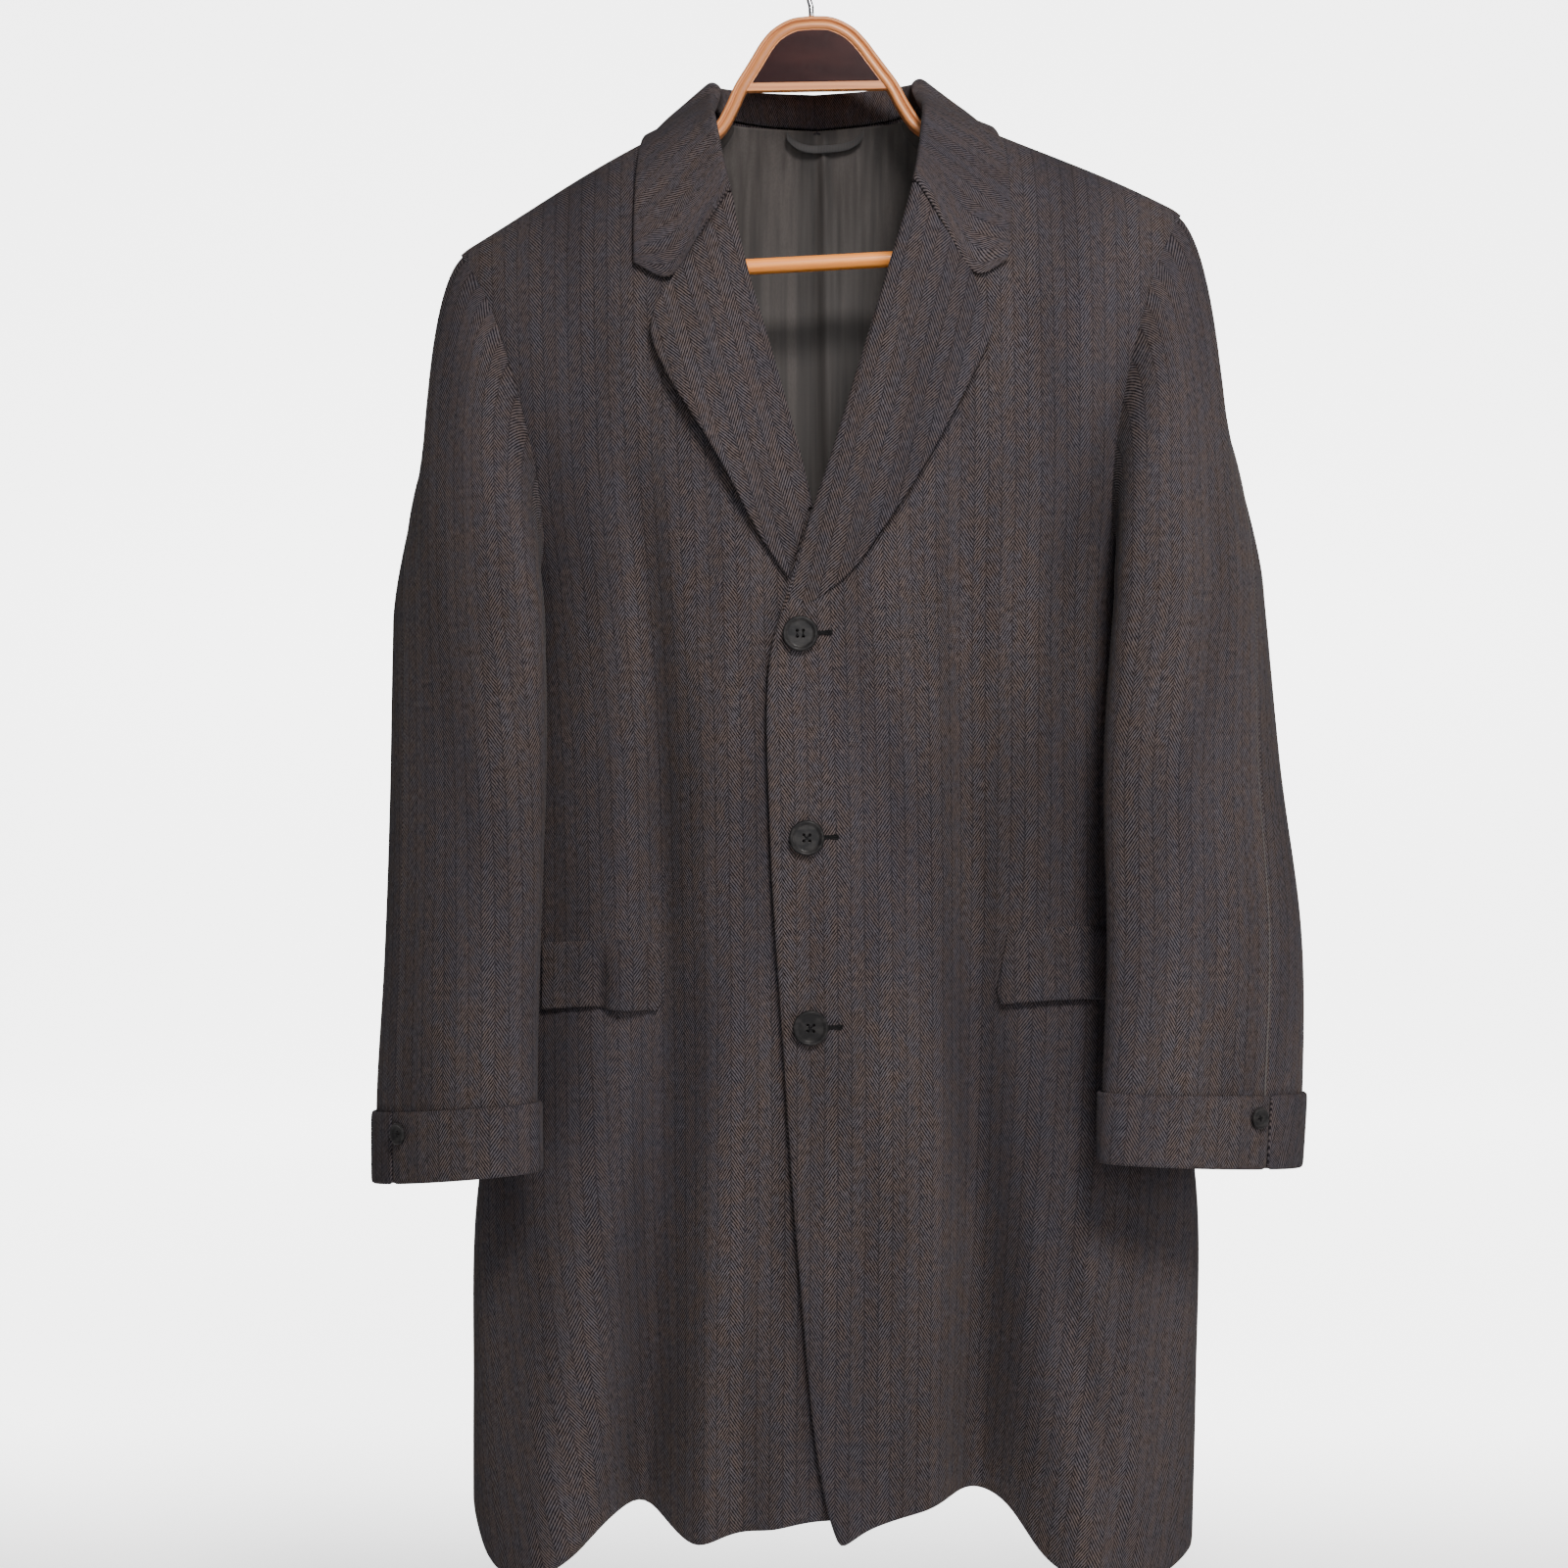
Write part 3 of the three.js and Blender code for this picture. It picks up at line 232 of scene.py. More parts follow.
SLEEVE_HEAD = Chart(
    "turn out forward down fall",
    (0, 85, 12, 75, 240), (45, 75, 50, 85, 190), (90, 22, 75, 60, 110), (180, 24, 6, 4, 24),
    (270, 90, -20, 60, 120), (315, 98, -15, 80, 190), (360, 85, 12, 75, 240),
)
HIND_SEAM_TURN = -24
HIND_SEAM_AT_HEAD = -48
FOREARM_SEAM_TURN = 118
SEAM_TURN_GAP = 0.12
CROWN_SHARE = 0.25
HEAD_GAP = 0.15
CUFF_Z = -843
CUFF_RISE = 6
CUFF_STAND = 3.5
CUFF_END_TURN = 0.15

# Lapels: the roll line and the outer edge, from the gorge down to the break
LAPEL_ROWS = {
    "left": Chart.counted(
        "roll rollZ edge edgeZ",
        (66.3, -204.3, 104.2, -270.8), (64, -214, 117, -306), (59, -231, 115, -320),
        (47, -268, 91, -366), (27, -330, 65, -409), (4, -398, 37, -448), (-15, -448, 9, -481),
        (-36, -503, -34, -508),
    ),
    "right": Chart.counted(
        "roll rollZ edge edgeZ",
        (66.3, -204.3, 105.2, -262.3), (65, -212, 122, -296), (62, -232, 112, -330),
        (54, -268, 91, -366), (39, -322, 71, -402), (23, -385, 49, -447), (13, -430, 29, -479),
    ),
}

# Collar from the gorge round to the middle of the back
COLLAR = Chart.counted(
    "seamZ foldZ edgeX edgeY edgeZ out",
    (-211, -204, 133, -60, -252, 0), (-190, -172, 134, -54, -222, 0),
    (-152, -137, 132, -33, -177, 0), (-128, -109, 126, 0, -148, 0.05),
    (-129, -106, 112, 34, -152, 0.35), (-131, -105, 66, 60, -158, 0.75),
    (-133, -105, 0, 68, -162, 1),
)
COLLAR_BACK = Chart(
    "at seamX seamY foldX foldY",
    (0.5, 76, 2, 78.5, 0), (4 / 6, 67, 20, 73, 24), (5 / 6, 39, 34, 44, 44), (1, 0, 42.8, 0, 54),
)
COLLAR_FOLD_RADIUS = 3.6
COLLAR_BULGE = 1.5
COLLAR_ENDS = {"left": ((104, -270.5), (130, -263)), "right": ((105, -262), (134, -250))}
COLLAR_LIFT = 3.9
COLLAR_END_SHARE = 0.16
COLLAR_FRONT_SHARE = 0.28

# Pocket flaps
FLAP_FRONT = 124
FLAP_FAR = 212
FLAP_TOP_Z = -731
FLAP_HEIGHT = 52
FLAP_BOW = 3
FLAP_CLOTH = 2.6
FLAP_LEFT_START = 5
FLAP_LEFT_SLANT = 10
FLAP_CORNER = 5
FLAP_BULGE = 3.2
FLAP_CREASE = 3.0
FLAP_RAISE = 3

# Fastenings
BUTTON_RADIUS = 12.4
BUTTON_THICK = 4.2
BUTTON_LIFT = 0.6
CUFF_BUTTON_RADIUS = 7.4
CUFF_BUTTON_THICK = 3.0
BUTTONS = {
    "button_top": (-22.5, -518),
    "button_middle": (-21.5, -661),
    "button_bottom": (-20, -794),
}
CUFF_BUTTON_TURN = -15
CUFF_BUTTON_Z = -858

# Hanger
ARM_BELOW_SEAM = 10.8
HANGER_HALF_THICK = 4.6
ARCH_TOP_Z = -66.6
BAR_END = 230
BAR_Z = -242
BAR_RADIUS = 5.8
BOARD_LOW_Z = -116
HOOK_WIRE = 2
HOOK_RADIUS = 22

# How the hanger's lean passes down the coat, and how its middle wanders sideways
SETTLING = Chart(
    "z drift lean",
    (10, 0, 0.04), (-62, 1.4, 0.04), (-105, 4.5, 0.018), (-150, 6.5, 0.025), (-200, 8, 0.054),
    (-240, 8.5, 0.054), (-400, 11.5, 0.048), (-620, 18, 0.035), (-850, 20, 0.02),
    (-1200, 16.5, 0.012),
)


def settle(p):
    """A point of the plumb frame where it hangs, in metres."""
    drift = SETTLING.read("drift", p.z)
    lean = SETTLING.read("lean", p.z)
    return Vector((p.x + drift, p.y, p.z + lean * p.x)) / 1000


# Making meshes


def in_scene(name, data):
    obj = bpy.data.objects.new(name, data)
    bpy.context.scene.collection.objects.link(obj)
    return obj


def smooth_object(name, bm, materials):
    """An object of a bmesh, which is used up."""
    mesh = bpy.data.meshes.new(name)
    bm.to_mesh(mesh)
    bm.free()
    for polygon in mesh.polygons:
        polygon.use_smooth = True
    for one in materials:
        mesh.materials.append(one)
    return in_scene(name, mesh)


def finished(name, bm, materials, replaces):
    """The object of a bmesh, riding on the coat's one body in place of its solids."""
    obj = smooth_object(name, bm, materials)
    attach(obj, "root")
    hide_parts(*replaces)
    return obj


def subdivide(obj):
    modifier = obj.modifiers.new("round", "SUBSURF")
    modifier.levels = 1
    modifier.render_levels = 1


def level_step(a, b):
    return math.hypot(b.x - a.x, b.y - a.y)


def falling_step(a, b):
    return math.hypot(b.y - a.y, b.z - a.z)


def whole_step(a, b):
    return (b - a).length


def summed(row, step, column=0, start=0.0):
    """Distances along a row of points, with a value of start at one column."""
    sums = [0.0]
    for a, b in zip(row, row[1:]):
        sums.append(sums[-1] + step(a, b))
    return [value - sums[column] + start for value in sums]


def panel_grain(level, side):
    """Columns hang straight down. Past the level row the cloth's own length counts."""
    def grain(points):
        across = [summed(row, level_step, start=side * row[0].x) for row in points]
        along = [[p.z for p in row] for row in points[:level + 1]]
        for below, row in zip(points[level:], points[level + 1:]):
            along.append([y + falling_step(a, b) for y, a, b in zip(along[-1], below, row)])
        return across, along

    return grain


def sleeve_grain(level, column):
    """Columns run down the arm from one column, and keep their widths over the sleeve head."""
    def grain(points):
        lower = points[level:]
        across = [summed(row, level_step, column) for row in lower]
        across = [across[0]] * level + across
        along = [[p.z for p in row] for row in lower]
        for above, row in zip(points[level - 1::-1], points[level:0:-1]):
            along.insert(0, [y + whole_step(a, b) for y, a, b in zip(along[0], row, above)])
        return across, along

    return grain


def folded_grain(fold, leaf):
    """Columns run across the sheet from its fold row, and keep their widths on the leaf row."""
    def grain(points):
        middle = len(points[0]) // 2
        across = [summed(points[leaf], whole_step, middle)] * len(points)
        columns = [summed(column, whole_step, fold) for column in zip(*points)]
        return across, list(zip(*columns))

    return grain


def slanted_grain(slant):
    """A flat sheet whose columns lean by slant for each unit that they fall."""
    size = math.hypot(1, slant)

    def grain(points):
        across = [[(p.x + p.z * slant) / size for p in row] for row in points]
        along = [[(p.z - p.x * slant) / size for p in row] for row in points]
        return across, along

    return grain


def lay_grain(bm, across, along):
    """Gives a grid its cloth coordinates in metres: across the grain, then along it."""
    layer = bm.loops.layers.uv.new("grain")
    for face in bm.faces:
        for loop in face.loops:
            j, i = divmod(loop.vert.index, len(across[0]))
            loop[layer].uv = (across[j][i] / 1000, along[j][i] / 1000)


def cloth(node, surface, us, vs, materials, grain, thick=CLOTH, out=None, kind="cloth"):
    """A sheet in place of a node, whose good side lies on surface(u, v) with its wall behind.
    out(p, u, v) points away from the good side where that isn't the front."""
    bm = bmesh.new()
    bmesh.ops.create_grid(bm, x_segments=len(us) - 1, y_segments=len(vs) - 1, size=0.5)
    columns = len(us)
    points = [[surface(u, v) for u in us] for v in vs]
    laid = [[settle(p) for p in row] for row in points]
    for vert in bm.verts:
        i = round((vert.co.x + 0.5) * (columns - 1))
        j = round((vert.co.y + 0.5) * (len(vs) - 1))
        vert.index = j * columns + i
    for vert in bm.verts:
        j, i = divmod(vert.index, columns)
        vert.co = laid[j][i]
    lay_grain(bm, *grain(points))
    facing = 0.0
    for j in range(1, len(vs) - 1, 3):
        for i in range(1, columns - 1, 2):
            square = (laid[j][i + 1] - laid[j][i - 1]).cross(laid[j + 1][i] - laid[j - 1][i])
            away = out(points[j][i], us[i], vs[j]) if out else Vector((0, -1, 0))
            facing += square.dot(away)
    first = next(iter(bm.faces))
    corners = [divmod(loop.vert.index, columns) for loop in first.loops]
    (j0, i0), (j1, i1), (j2, i2) = corners[:3]
    winding = (i1 - i0) * (j2 - j1) - (i2 - i1) * (j1 - j0)
    if winding * facing < 0:
        bmesh.ops.reverse_faces(bm, faces=bm.faces[:])
    obj = finished(f"{kind}_{node}", bm, materials, [node])
    wall = obj.modifiers.new("wall", "SOLIDIFY")
    wall.thickness = thick / 1000
    wall.offset = -1
    wall.use_even_offset = False
    wall.material_offset = len(materials) - 1
    subdivide(obj)
    return obj


def drawn_on(bm, edges):
    """Draws a loop of edges on, and gives the new vertices and the new loop."""
    made = bmesh.ops.extrude_edge_only(bm, edges=edges)["geom"]
    verts = [g for g in made if isinstance(g, bmesh.types.BMVert)]
    fresh = set(verts)
    return verts, [
        g for g in made if isinstance(g, bmesh.types.BMEdge) and set(g.verts) <= fresh
    ]


def skin(bm, sections, closed=False):
    """Draws a skin through rings of points. It gives the places of its vertices along and
    around it, and the distance round it."""
    ring = [bm.verts.new(p) for p in sections[0]]
    first = [bm.edges.new((ring[i], ring[(i + 1) % len(ring)])) for i in range(len(ring))]
    middles = [sum(section, Vector()) / len(section) for section in sections]
    lengths = summed(middles, whole_step)
    rounds = summed(sections[0] + sections[0][:1], whole_step)
    places = {vert: (lengths[0], rounds[i]) for i, vert in enumerate(ring)}
    if not closed:
        bm.faces.new(ring)
    edges = first
    for section, length in zip(sections[1:], lengths[1:]):
        fresh, edges = drawn_on(bm, edges)
        link = {}
        for vert in fresh:
            for edge in vert.link_edges:
                other = edge.other_vert(vert)
                if other in ring:
                    link[other] = vert
        ring = [link[v] for v in ring]
        for i, vert in enumerate(ring):
            vert.co = section[i]
            places[vert] = (length, rounds[i])
    if closed:
        bmesh.ops.bridge_loops(bm, edges=first + edges)
    else:
        bm.faces.new(ring)
    bmesh.ops.recalc_face_normals(bm, faces=bm.faces[:])
    return places, rounds[-1]


def sweep(name, sections, material, replaces):
    """An object whose skin runs through rings of points, and whose grain runs along it."""
    bm = bmesh.new()
    places, girth = skin(bm, sections)
    layer = bm.loops.layers.uv.new("grain")
    for face in bm.faces:
        spots = [places[loop.vert] for loop in face.loops]
        widest = max(around for _, around in spots)
        for loop, (along, around) in zip(face.loops, spots):
            wraps = widest - around > girth / 2
            loop[layer].uv = (along, around + girth if wraps else around)
    return finished(name, bm, [material], replaces)


def tube_rings(path, radius, around, closed=False):
    """Round sections along a path, turned with it and never twisted."""
    rings = []
    count = len(path)
    side = None
    for i, p in enumerate(path):
        before = path[(i - 1) % count] if closed else path[max(i - 1, 0)]
        after = path[(i + 1) % count] if closed else path[min(i + 1, count - 1)]
        along = (after - before).normalized()
        if side is None:
            side = along.orthogonal().normalized()
        side = (side - along * side.dot(along)).normalized()
        other = along.cross(side)
        rings.append([
            p + (side * math.cos(a) + other * math.sin(a)) * radius
            for a in (k * math.tau / around for k in range(around))
        ])
    return rings


# Materials


class Shade:
    """A socket of a material's node tree, so that sums on it read as Python expressions."""

    def __init__(self, tree, socket=None):
        self.tree = tree
        self.socket = socket

    def put(self, value, socket):
        """Links a shade to a socket, or sets a plain value on it."""
        if isinstance(value, Shade):
            self.tree.links.new(value.socket, socket)
        else:
            socket.default_value = value

    def add(self, kind, settings=None, sockets=None, output=0):
        """A new node: its settings come first, then the values or links of its sockets."""
        node = self.tree.nodes.new(kind)
        for key, value in (settings or {}).items():
            setattr(node, key, value)
        for key, value in (sockets or {}).items():
            self.put(value, node.inputs[key])
        return Shade(self.tree, node.outputs[output])

    def math(self, operation, *values):
        return self.add("ShaderNodeMath", {"operation": operation}, dict(enumerate(values)))

    def __add__(self, other):
        return self.math("ADD", self, other)

    __radd__ = __add__

    def __mul__(self, other):
        return self.math("MULTIPLY", self, other)

    __rmul__ = __mul__

    def __sub__(self, other):
        return self.math("SUBTRACT", self, other)

    def __rsub__(self, other):
        return self.math("SUBTRACT", other, self)

    def __truediv__(self, other):
        return self.math("DIVIDE", self, other)

    def __mod__(self, other):
        return self.math("FLOORED_MODULO", self, other)

    def floor(self):
        return self.math("FLOOR", self)

    def wave(self, count=1):
        """A wave from 0 to 1 that comes count times for each unit of this."""
        return self.math("SINE", self * (math.tau * count)) * 0.5 + 0.5

    def between(self, low, high):
        """0 below low, 1 above high, and a smooth step from one to the other."""
        return self.add("ShaderNodeMapRange", {"interpolation_type": "SMOOTHSTEP"},
                        {"Value": self, "From Min": low, "From Max": high})

    def part(self, axis):
        return self.add("ShaderNodeSeparateXYZ", None, {0: self}, axis)

    def noise(self, stretch, detail=2.0, rough=0.5):
        """Noise from 0 to 1 over this vector, with each axis stretched by its own share."""
        place = self.add("ShaderNodeVectorMath", {"operation": "MULTIPLY"}, {0: self, 1: stretch})
        return self.add("ShaderNodeTexNoise", None, {
            "Vector": place, "Scale": 1.0, "Detail": detail, "Roughness": rough})

    def mixed(self, first, second):
        """A colour between two others, by this factor."""
        node = self.tree.nodes.new("ShaderNodeMix")
        node.data_type = "RGBA"
        inputs = [s for s in node.inputs if s.enabled]
        for socket, value in zip(inputs, (self, first, second)):
            self.put(value if isinstance(value, Shade) else (*value, 1), socket)
        return Shade(self.tree, next(s for s in node.outputs if s.enabled))


OBJECT_COORDINATES = 3


def material(name, fixed, build, grained=False):
    """A material: fixed values go straight on the shader, and build gives what varies over the
    object's own coordinates, or over its grain where the material is grained."""
    made = bpy.data.materials.new(name)
    made.use_nodes = True
    tree = made.node_tree
    shader = next(n for n in tree.nodes if n.type == "BSDF_PRINCIPLED")
    for socket, value in fixed.items():
        shader.inputs[socket].default_value = value
    place = Shade(tree)
    if grained:
        place = place.add("ShaderNodeUVMap", {"uv_map": "grain"})
    else:
        place = place.add("ShaderNodeTexCoord", output=OBJECT_COORDINATES)
    for socket, value in build(place).items():
        tree.links.new(value.socket, shader.inputs[socket])
    return made


def raised(height, deep, strength):
    """A Bump node from a height of 0 to 1 that stands for deep millimetres."""
    return height.add("ShaderNodeBump", None,
                 {"Height": height, "Distance": deep / 1000, "Strength": strength})


STRIPE = 9.6
TWILL_PITCH = 3.0
TWILL_SLOPE = 1.5
WOOL_DARK = (0.0060, 0.0054, 0.0064)
WOOL_DARK_WARM = (0.0086, 0.0066, 0.0062)
WOOL_LIGHT = (0.084, 0.076, 0.084)
WOOL_LIGHT_WARM = (0.098, 0.076, 0.070)
# painted cool light: the blue that is mixed into the cloth in wide soft bands
COOL_LIGHT_BLUE = (0.021, 0.022, 0.032)


def herringbone(grain):
    """Twill that turns back every stripe, in the cloth's own coordinates."""
    waver = grain.noise((50, 18, 0), 1.0)
    across = grain.part("X") * 1000 + waver * 1.6
    along = grain.part("Y") * 1000
    zigzag = across.math("PINGPONG", across, STRIPE)
    turned = (across / STRIPE).floor() % 2.0
    loose = grain.noise((130, 60, 0))
    line = (along + zigzag * TWILL_SLOPE + turned * (TWILL_PITCH / 2) + loose * 1.8) / TWILL_PITCH
    twill = line.wave()
    column = (zigzag * (STRIPE - zigzag) / (STRIPE ** 2 / 4)).between(0.0, 0.4)
    fibre = grain.noise((700, 240, 0), 3.0, 0.6)
    nap = grain.noise((420, 420, 0), 2.0, 0.6)
    heather = grain.noise((95, 60, 0), 4.0, 0.7)
    # painted shade: long soft streaks down the cloth are darkened, as if shaded by small hanging
    # folds
    fold_shade_streaks = grain.noise((16, 4, 0))
    # painted cool light: wide soft bands tinted blue, standing in for the cool part of the mixed
    # light on the coat
    cool_light_bands = grain.noise((7, 3, 0), 1.0)
    yarn = (twill * 0.5 + fibre * 0.85 + turned * 0.02 - 0.2).between(0.2, 0.8)
    dark = heather.between(0.35, 0.65).mixed(WOOL_DARK, WOOL_DARK_WARM)
    light = heather.between(0.35, 0.65).mixed(WOOL_LIGHT, WOOL_LIGHT_WARM)
    colour = yarn.mixed(dark, light)
    with_cool_light = (cool_light_bands.between(0.35, 0.7) * 0.3).mixed(colour, COOL_LIGHT_BLUE)
    # the painted fold shade darkens the cloth along the streaks, and the herringbone's own dark
    # break line shows at each stripe's edge
    shaded = (fold_shade_streaks.between(0.3, 0.75) * 0.25 + (1.0 - column) * 0.3).mixed(with_cool_light, WOOL_DARK)
    height = twill * 0.5 * column + fibre * 0.35 + nap * 0.45
    return {
        "Base Color": shaded,
        "Roughness": 0.95 - yarn * 0.12,
        "Normal": raised(height, 0.4, 0.6),
    }


def striped_lining(place):
    bands = place.noise((46, 10, 1.6))
    streaks = place.noise((210, 60, 5))
    fine = place.noise((900, 900, 260), 1.0)
    threads = place.part("Z").wave(1100)
    tone = (bands * 0.65 + streaks * 0.35).between(0.3, 0.72)
    return {
        "Base Color": (fine.between(0.3, 0.8) * 0.35).mixed(
            tone.mixed((0.018, 0.0164, 0.0158), (0.066, 0.0585, 0.055)), (0.031, 0.028, 0.027)),
        "Roughness": 0.5 + bands * 0.3,
        "Normal": raised(threads * 0.4 + fine * 0.6 + streaks, 0.12, 0.4),
    }


def woven_tape(place):
    ribs = place.part("X").wave(900)
    fibre = place.noise((1200, 1200, 500))
    return {
        "Base Color": (ribs * 0.5 + fibre * 0.5).mixed(
            (0.006, 0.006, 0.0065), (0.028, 0.027, 0.028)),
        "Roughness": 0.7 + fibre * 0.2,
        "Normal": raised(ribs * 0.6 + fibre * 0.4, 0.2, 0.5),
    }


def horn(place):
    cloud = place.noise((160, 160, 260), 3.0)
    scratch = place.noise((1500, 1500, 300))
    return {
        "Base Color": cloud.between(0.35, 0.75).mixed(
            (0.0085, 0.0083, 0.0088), (0.023, 0.0216, 0.0212)),
        "Roughness": 0.42 + scratch * 0.25,
        "Normal": raised(scratch, 0.04, 0.25),
    }


def sewing_thread(place):
    twist = (place.part("X") + place.part("Z")).wave(1600)
    return {
        "Base Color": twist.mixed((0.002, 0.002, 0.0022), (0.009, 0.0088, 0.0095)),
        "Roughness": 0.6 + twist * 0.2,
        "Normal": raised(twist, 0.15, 0.6),
    }


def beech(place, across, low, high):
    """Varnished wood whose grain runs along X, with its rings across the other axis."""
    around = place.part(across)
    run = place.add("ShaderNodeCombineXYZ", None, {"X": place.part("X"), "Y": around})
    soft = run.noise((9, 110, 0))
    flecks = run.noise((120, 1400, 0), 3.0, 0.6)
    rings = (around + soft * 0.004).wave(260)
    grain = rings * 0.25 + soft * 0.5 + flecks * 0.25
    pale = grain.between(0.2, 0.85).mixed(low, high)
    return {
        "Base Color": (flecks.between(0.6, 0.8) * 0.4).mixed(pale, [part * 0.6 for part in low]),
        "Roughness": 0.34 + soft * 0.16,
        "Normal": raised(flecks * 0.6 + rings * 0.4, 0.05, 0.25),
    }


def bent_beech(grain):
    return beech(grain, "Y", (0.33, 0.110, 0.034), (0.62, 0.260, 0.090))


def turned_beech(grain):
    return beech(grain, "Y", (0.78, 0.235, 0.032), (1.0, 0.380, 0.075))


def flat_beech(place):
    return beech(place, "Z", (0.40, 0.130, 0.034), (0.66, 0.270, 0.085))


def stained_plaque(place):
    cloud = place.noise((18, 18, 60))
    speck = place.noise((900, 900, 900))
    return {
        "Base Color": cloud.between(0.3, 0.8).mixed(
            (0.014, 0.0040, 0.0047), (0.028, 0.0082, 0.0078)),
        "Roughness": 0.16 + speck * 0.12,
        "Normal": raised(cloud, 0.05, 0.2),
    }


def drawn_steel(place):
    lines = place.noise((2000, 2000, 300))
    return {
        "Base Color": lines.mixed((0.55, 0.56, 0.58), (0.72, 0.73, 0.75)),
        "Roughness": 0.18 + lines * 0.18,
        "Normal": raised(lines, 0.02, 0.2),
    }


WOOL = material(
    "herringbone_wool",
    {"Sheen Weight": 0.02, "Sheen Roughness": 0.5, "Specular IOR Level": 0.0},
    herringbone, grained=True)
LINING = material("striped_lining", {"Specular IOR Level": 0.3, "Sheen Weight": 0.05},
                  striped_lining)
TAPE = material("loop_tape", {"Sheen Weight": 0.05}, woven_tape)
HORN = material("dark_horn", {"Coat Weight": 0.08, "Coat Roughness": 0.15,
                              "Specular IOR Level": 0.1}, horn)
THREAD = material("button_thread", {"Specular IOR Level": 0.1}, sewing_thread)
VARNISH = {"Coat Weight": 0.12, "Coat Roughness": 0.2, "Specular IOR Level": 0.35}
BENT_WOOD = material("bent_beech", VARNISH, bent_beech, grained=True)
TURNED_WOOD = material("turned_beech", VARNISH, turned_beech, grained=True)
FLAT_WOOD = material("flat_beech", VARNISH, flat_beech)
PLAQUE = material("plaque_gloss", {"Coat Weight": 0.05, "Coat Roughness": 0.12,
                                   "Specular IOR Level": 0.12}, stained_plaque)
STEEL = material("hook_steel", {"Metallic": 1.0}, drawn_steel)

# Body


def shoulder_line(x):
    out = abs(x) - NECK_HALF
    pad = math.sin(math.pi * clamp(out / (SHOULDER_HALF - NECK_HALF), 0, 1))
    return NECK_Z - SHOULDER_SLOPE * out + SHOULDER_PAD * pad


def back_top(x):
    if x >= NECK_HALF:
        return shoulder_line(x)
    return mix(BACK_NECK_Z, NECK_Z, (x / NECK_HALF) ** 2)


def fold_depth(folds, x, z):
    return sum(
        rows.read("depth", z) * bump_at(x, rows.read("x", z), rows.read("spread", z))
        for rows in folds
    )


def body_depth(x, z, column, folds):
    """Distance of the body's good side from the plane of the side seams."""
    half = SECTIONS.read("half", z)
    square = SECTIONS.read("square", z)
    share = clamp(abs(x) / half, 0, 1)
    round_ = (1 - share ** square) ** (1 / square)
    drop = clamp((shoulder_line(x) - z) / SHOULDER_ROUND, 0, 1)
    crown = math.sqrt(1 - (1 - drop) ** 2)
    hold = 1 - share ** 8
    return (SECTIONS.read(column, z) * round_ - fold_depth(folds, x, z) * hold) * crown


def over_y(x, z):
    return -body_depth(x, z, "front", OVER_FOLDS) - SEAM_GAP


def under_y(x, z):
    edge = -OVER_EDGE.read("x", z)
    sunk = smooth((edge + LAP_SPAN - x) / LAP_SPAN)
    return -body_depth(x, z, "front", UNDER_FOLDS) - SEAM_GAP + LAP_SINK * sunk


def back_y(x, z):
    return body_depth(x, z, "back", BACK_FOLDS) + SEAM_GAP


def armhole(at, edge):
    return ARMHOLE.read(edge, at), ARMHOLE.read("z", at)


def armhole_at_drop(drop, edge):
    low, high = 0.0, 1.0
    for _ in range(HALVINGS):
        middle = (low + high) / 2
        x, z = armhole(middle, edge)
        if shoulder_line(x) - z > drop:
            low = middle
        else:
            high = middle
    return (low + high) / 2


class Panel:
    """A front or back of the body. v runs 0 to 1 from the hem to the underarm, 1 to 2 up the
    armhole and 2 to 3 over the rounding of the shoulder; u from the inner edge outwards."""

    def __init__(self, side, edge, hem, top, inner, depth):
        self.side = side
        self.edge = edge
        self.hem = hem
        self.top = top
        self.inner = inner
        self.depth = depth

    @functools.lru_cache(maxsize=None)
    def row(self, v):
        """Near and far ends of a row, and the share and lift that give its heights."""
        if v <= 1:
            far = None
            level = functools.partial(self.low_level, v)
        elif v <= 2:
            far, far_z = armhole(armhole_at_drop(SHOULDER_ROUND, self.edge) * (v - 1), self.edge)
            share = (far_z - UNDERARM_Z) / (self.top(far) - SHOULDER_ROUND - UNDERARM_Z)
            level = functools.partial(self.middle_level, share)
        else:
            drop = SHOULDER_ROUND * (1 - math.cos((3 - v) * math.pi / 2))
            far = armhole(armhole_at_drop(drop, self.edge), self.edge)[0]
            level = functools.partial(self.top_level, drop)
        near = self.inner(UNDERARM_Z)
        for _ in range(LEVELLING_ROUNDS):
            near = self.inner(level(near))
        if far is None:
            far = HEM_HALF
            for _ in range(LEVELLING_ROUNDS):
                far = SECTIONS.read("half", level(far))
        return near, far, level

    def low_level(self, v, x):
        return mix(self.hem.read("z", x), UNDERARM_Z, v)

    def middle_level(self, share, x):
        return mix(UNDERARM_Z, self.top(x) - SHOULDER_ROUND, share)

    def top_level(self, drop, x):
        return self.top(x) - drop

    def point(self, u, v):
        near, far, level = self.row(v)
        crowding = mix(0.7, 0.35, smooth((v - 0.8) / 0.4))
        x = mix(near, far, mix(u, math.sin(u * math.pi / 2), crowding))
        z = level(x)
        return Vector((self.side * x, self.depth(x, z), z))


def under_inner(z):
    return UNDER_EDGE.read("x", z)


def over_inner(z):
    return OVER_EDGE.read("x", z)


def middle_inner(z):
    return SEAM_GAP / 2


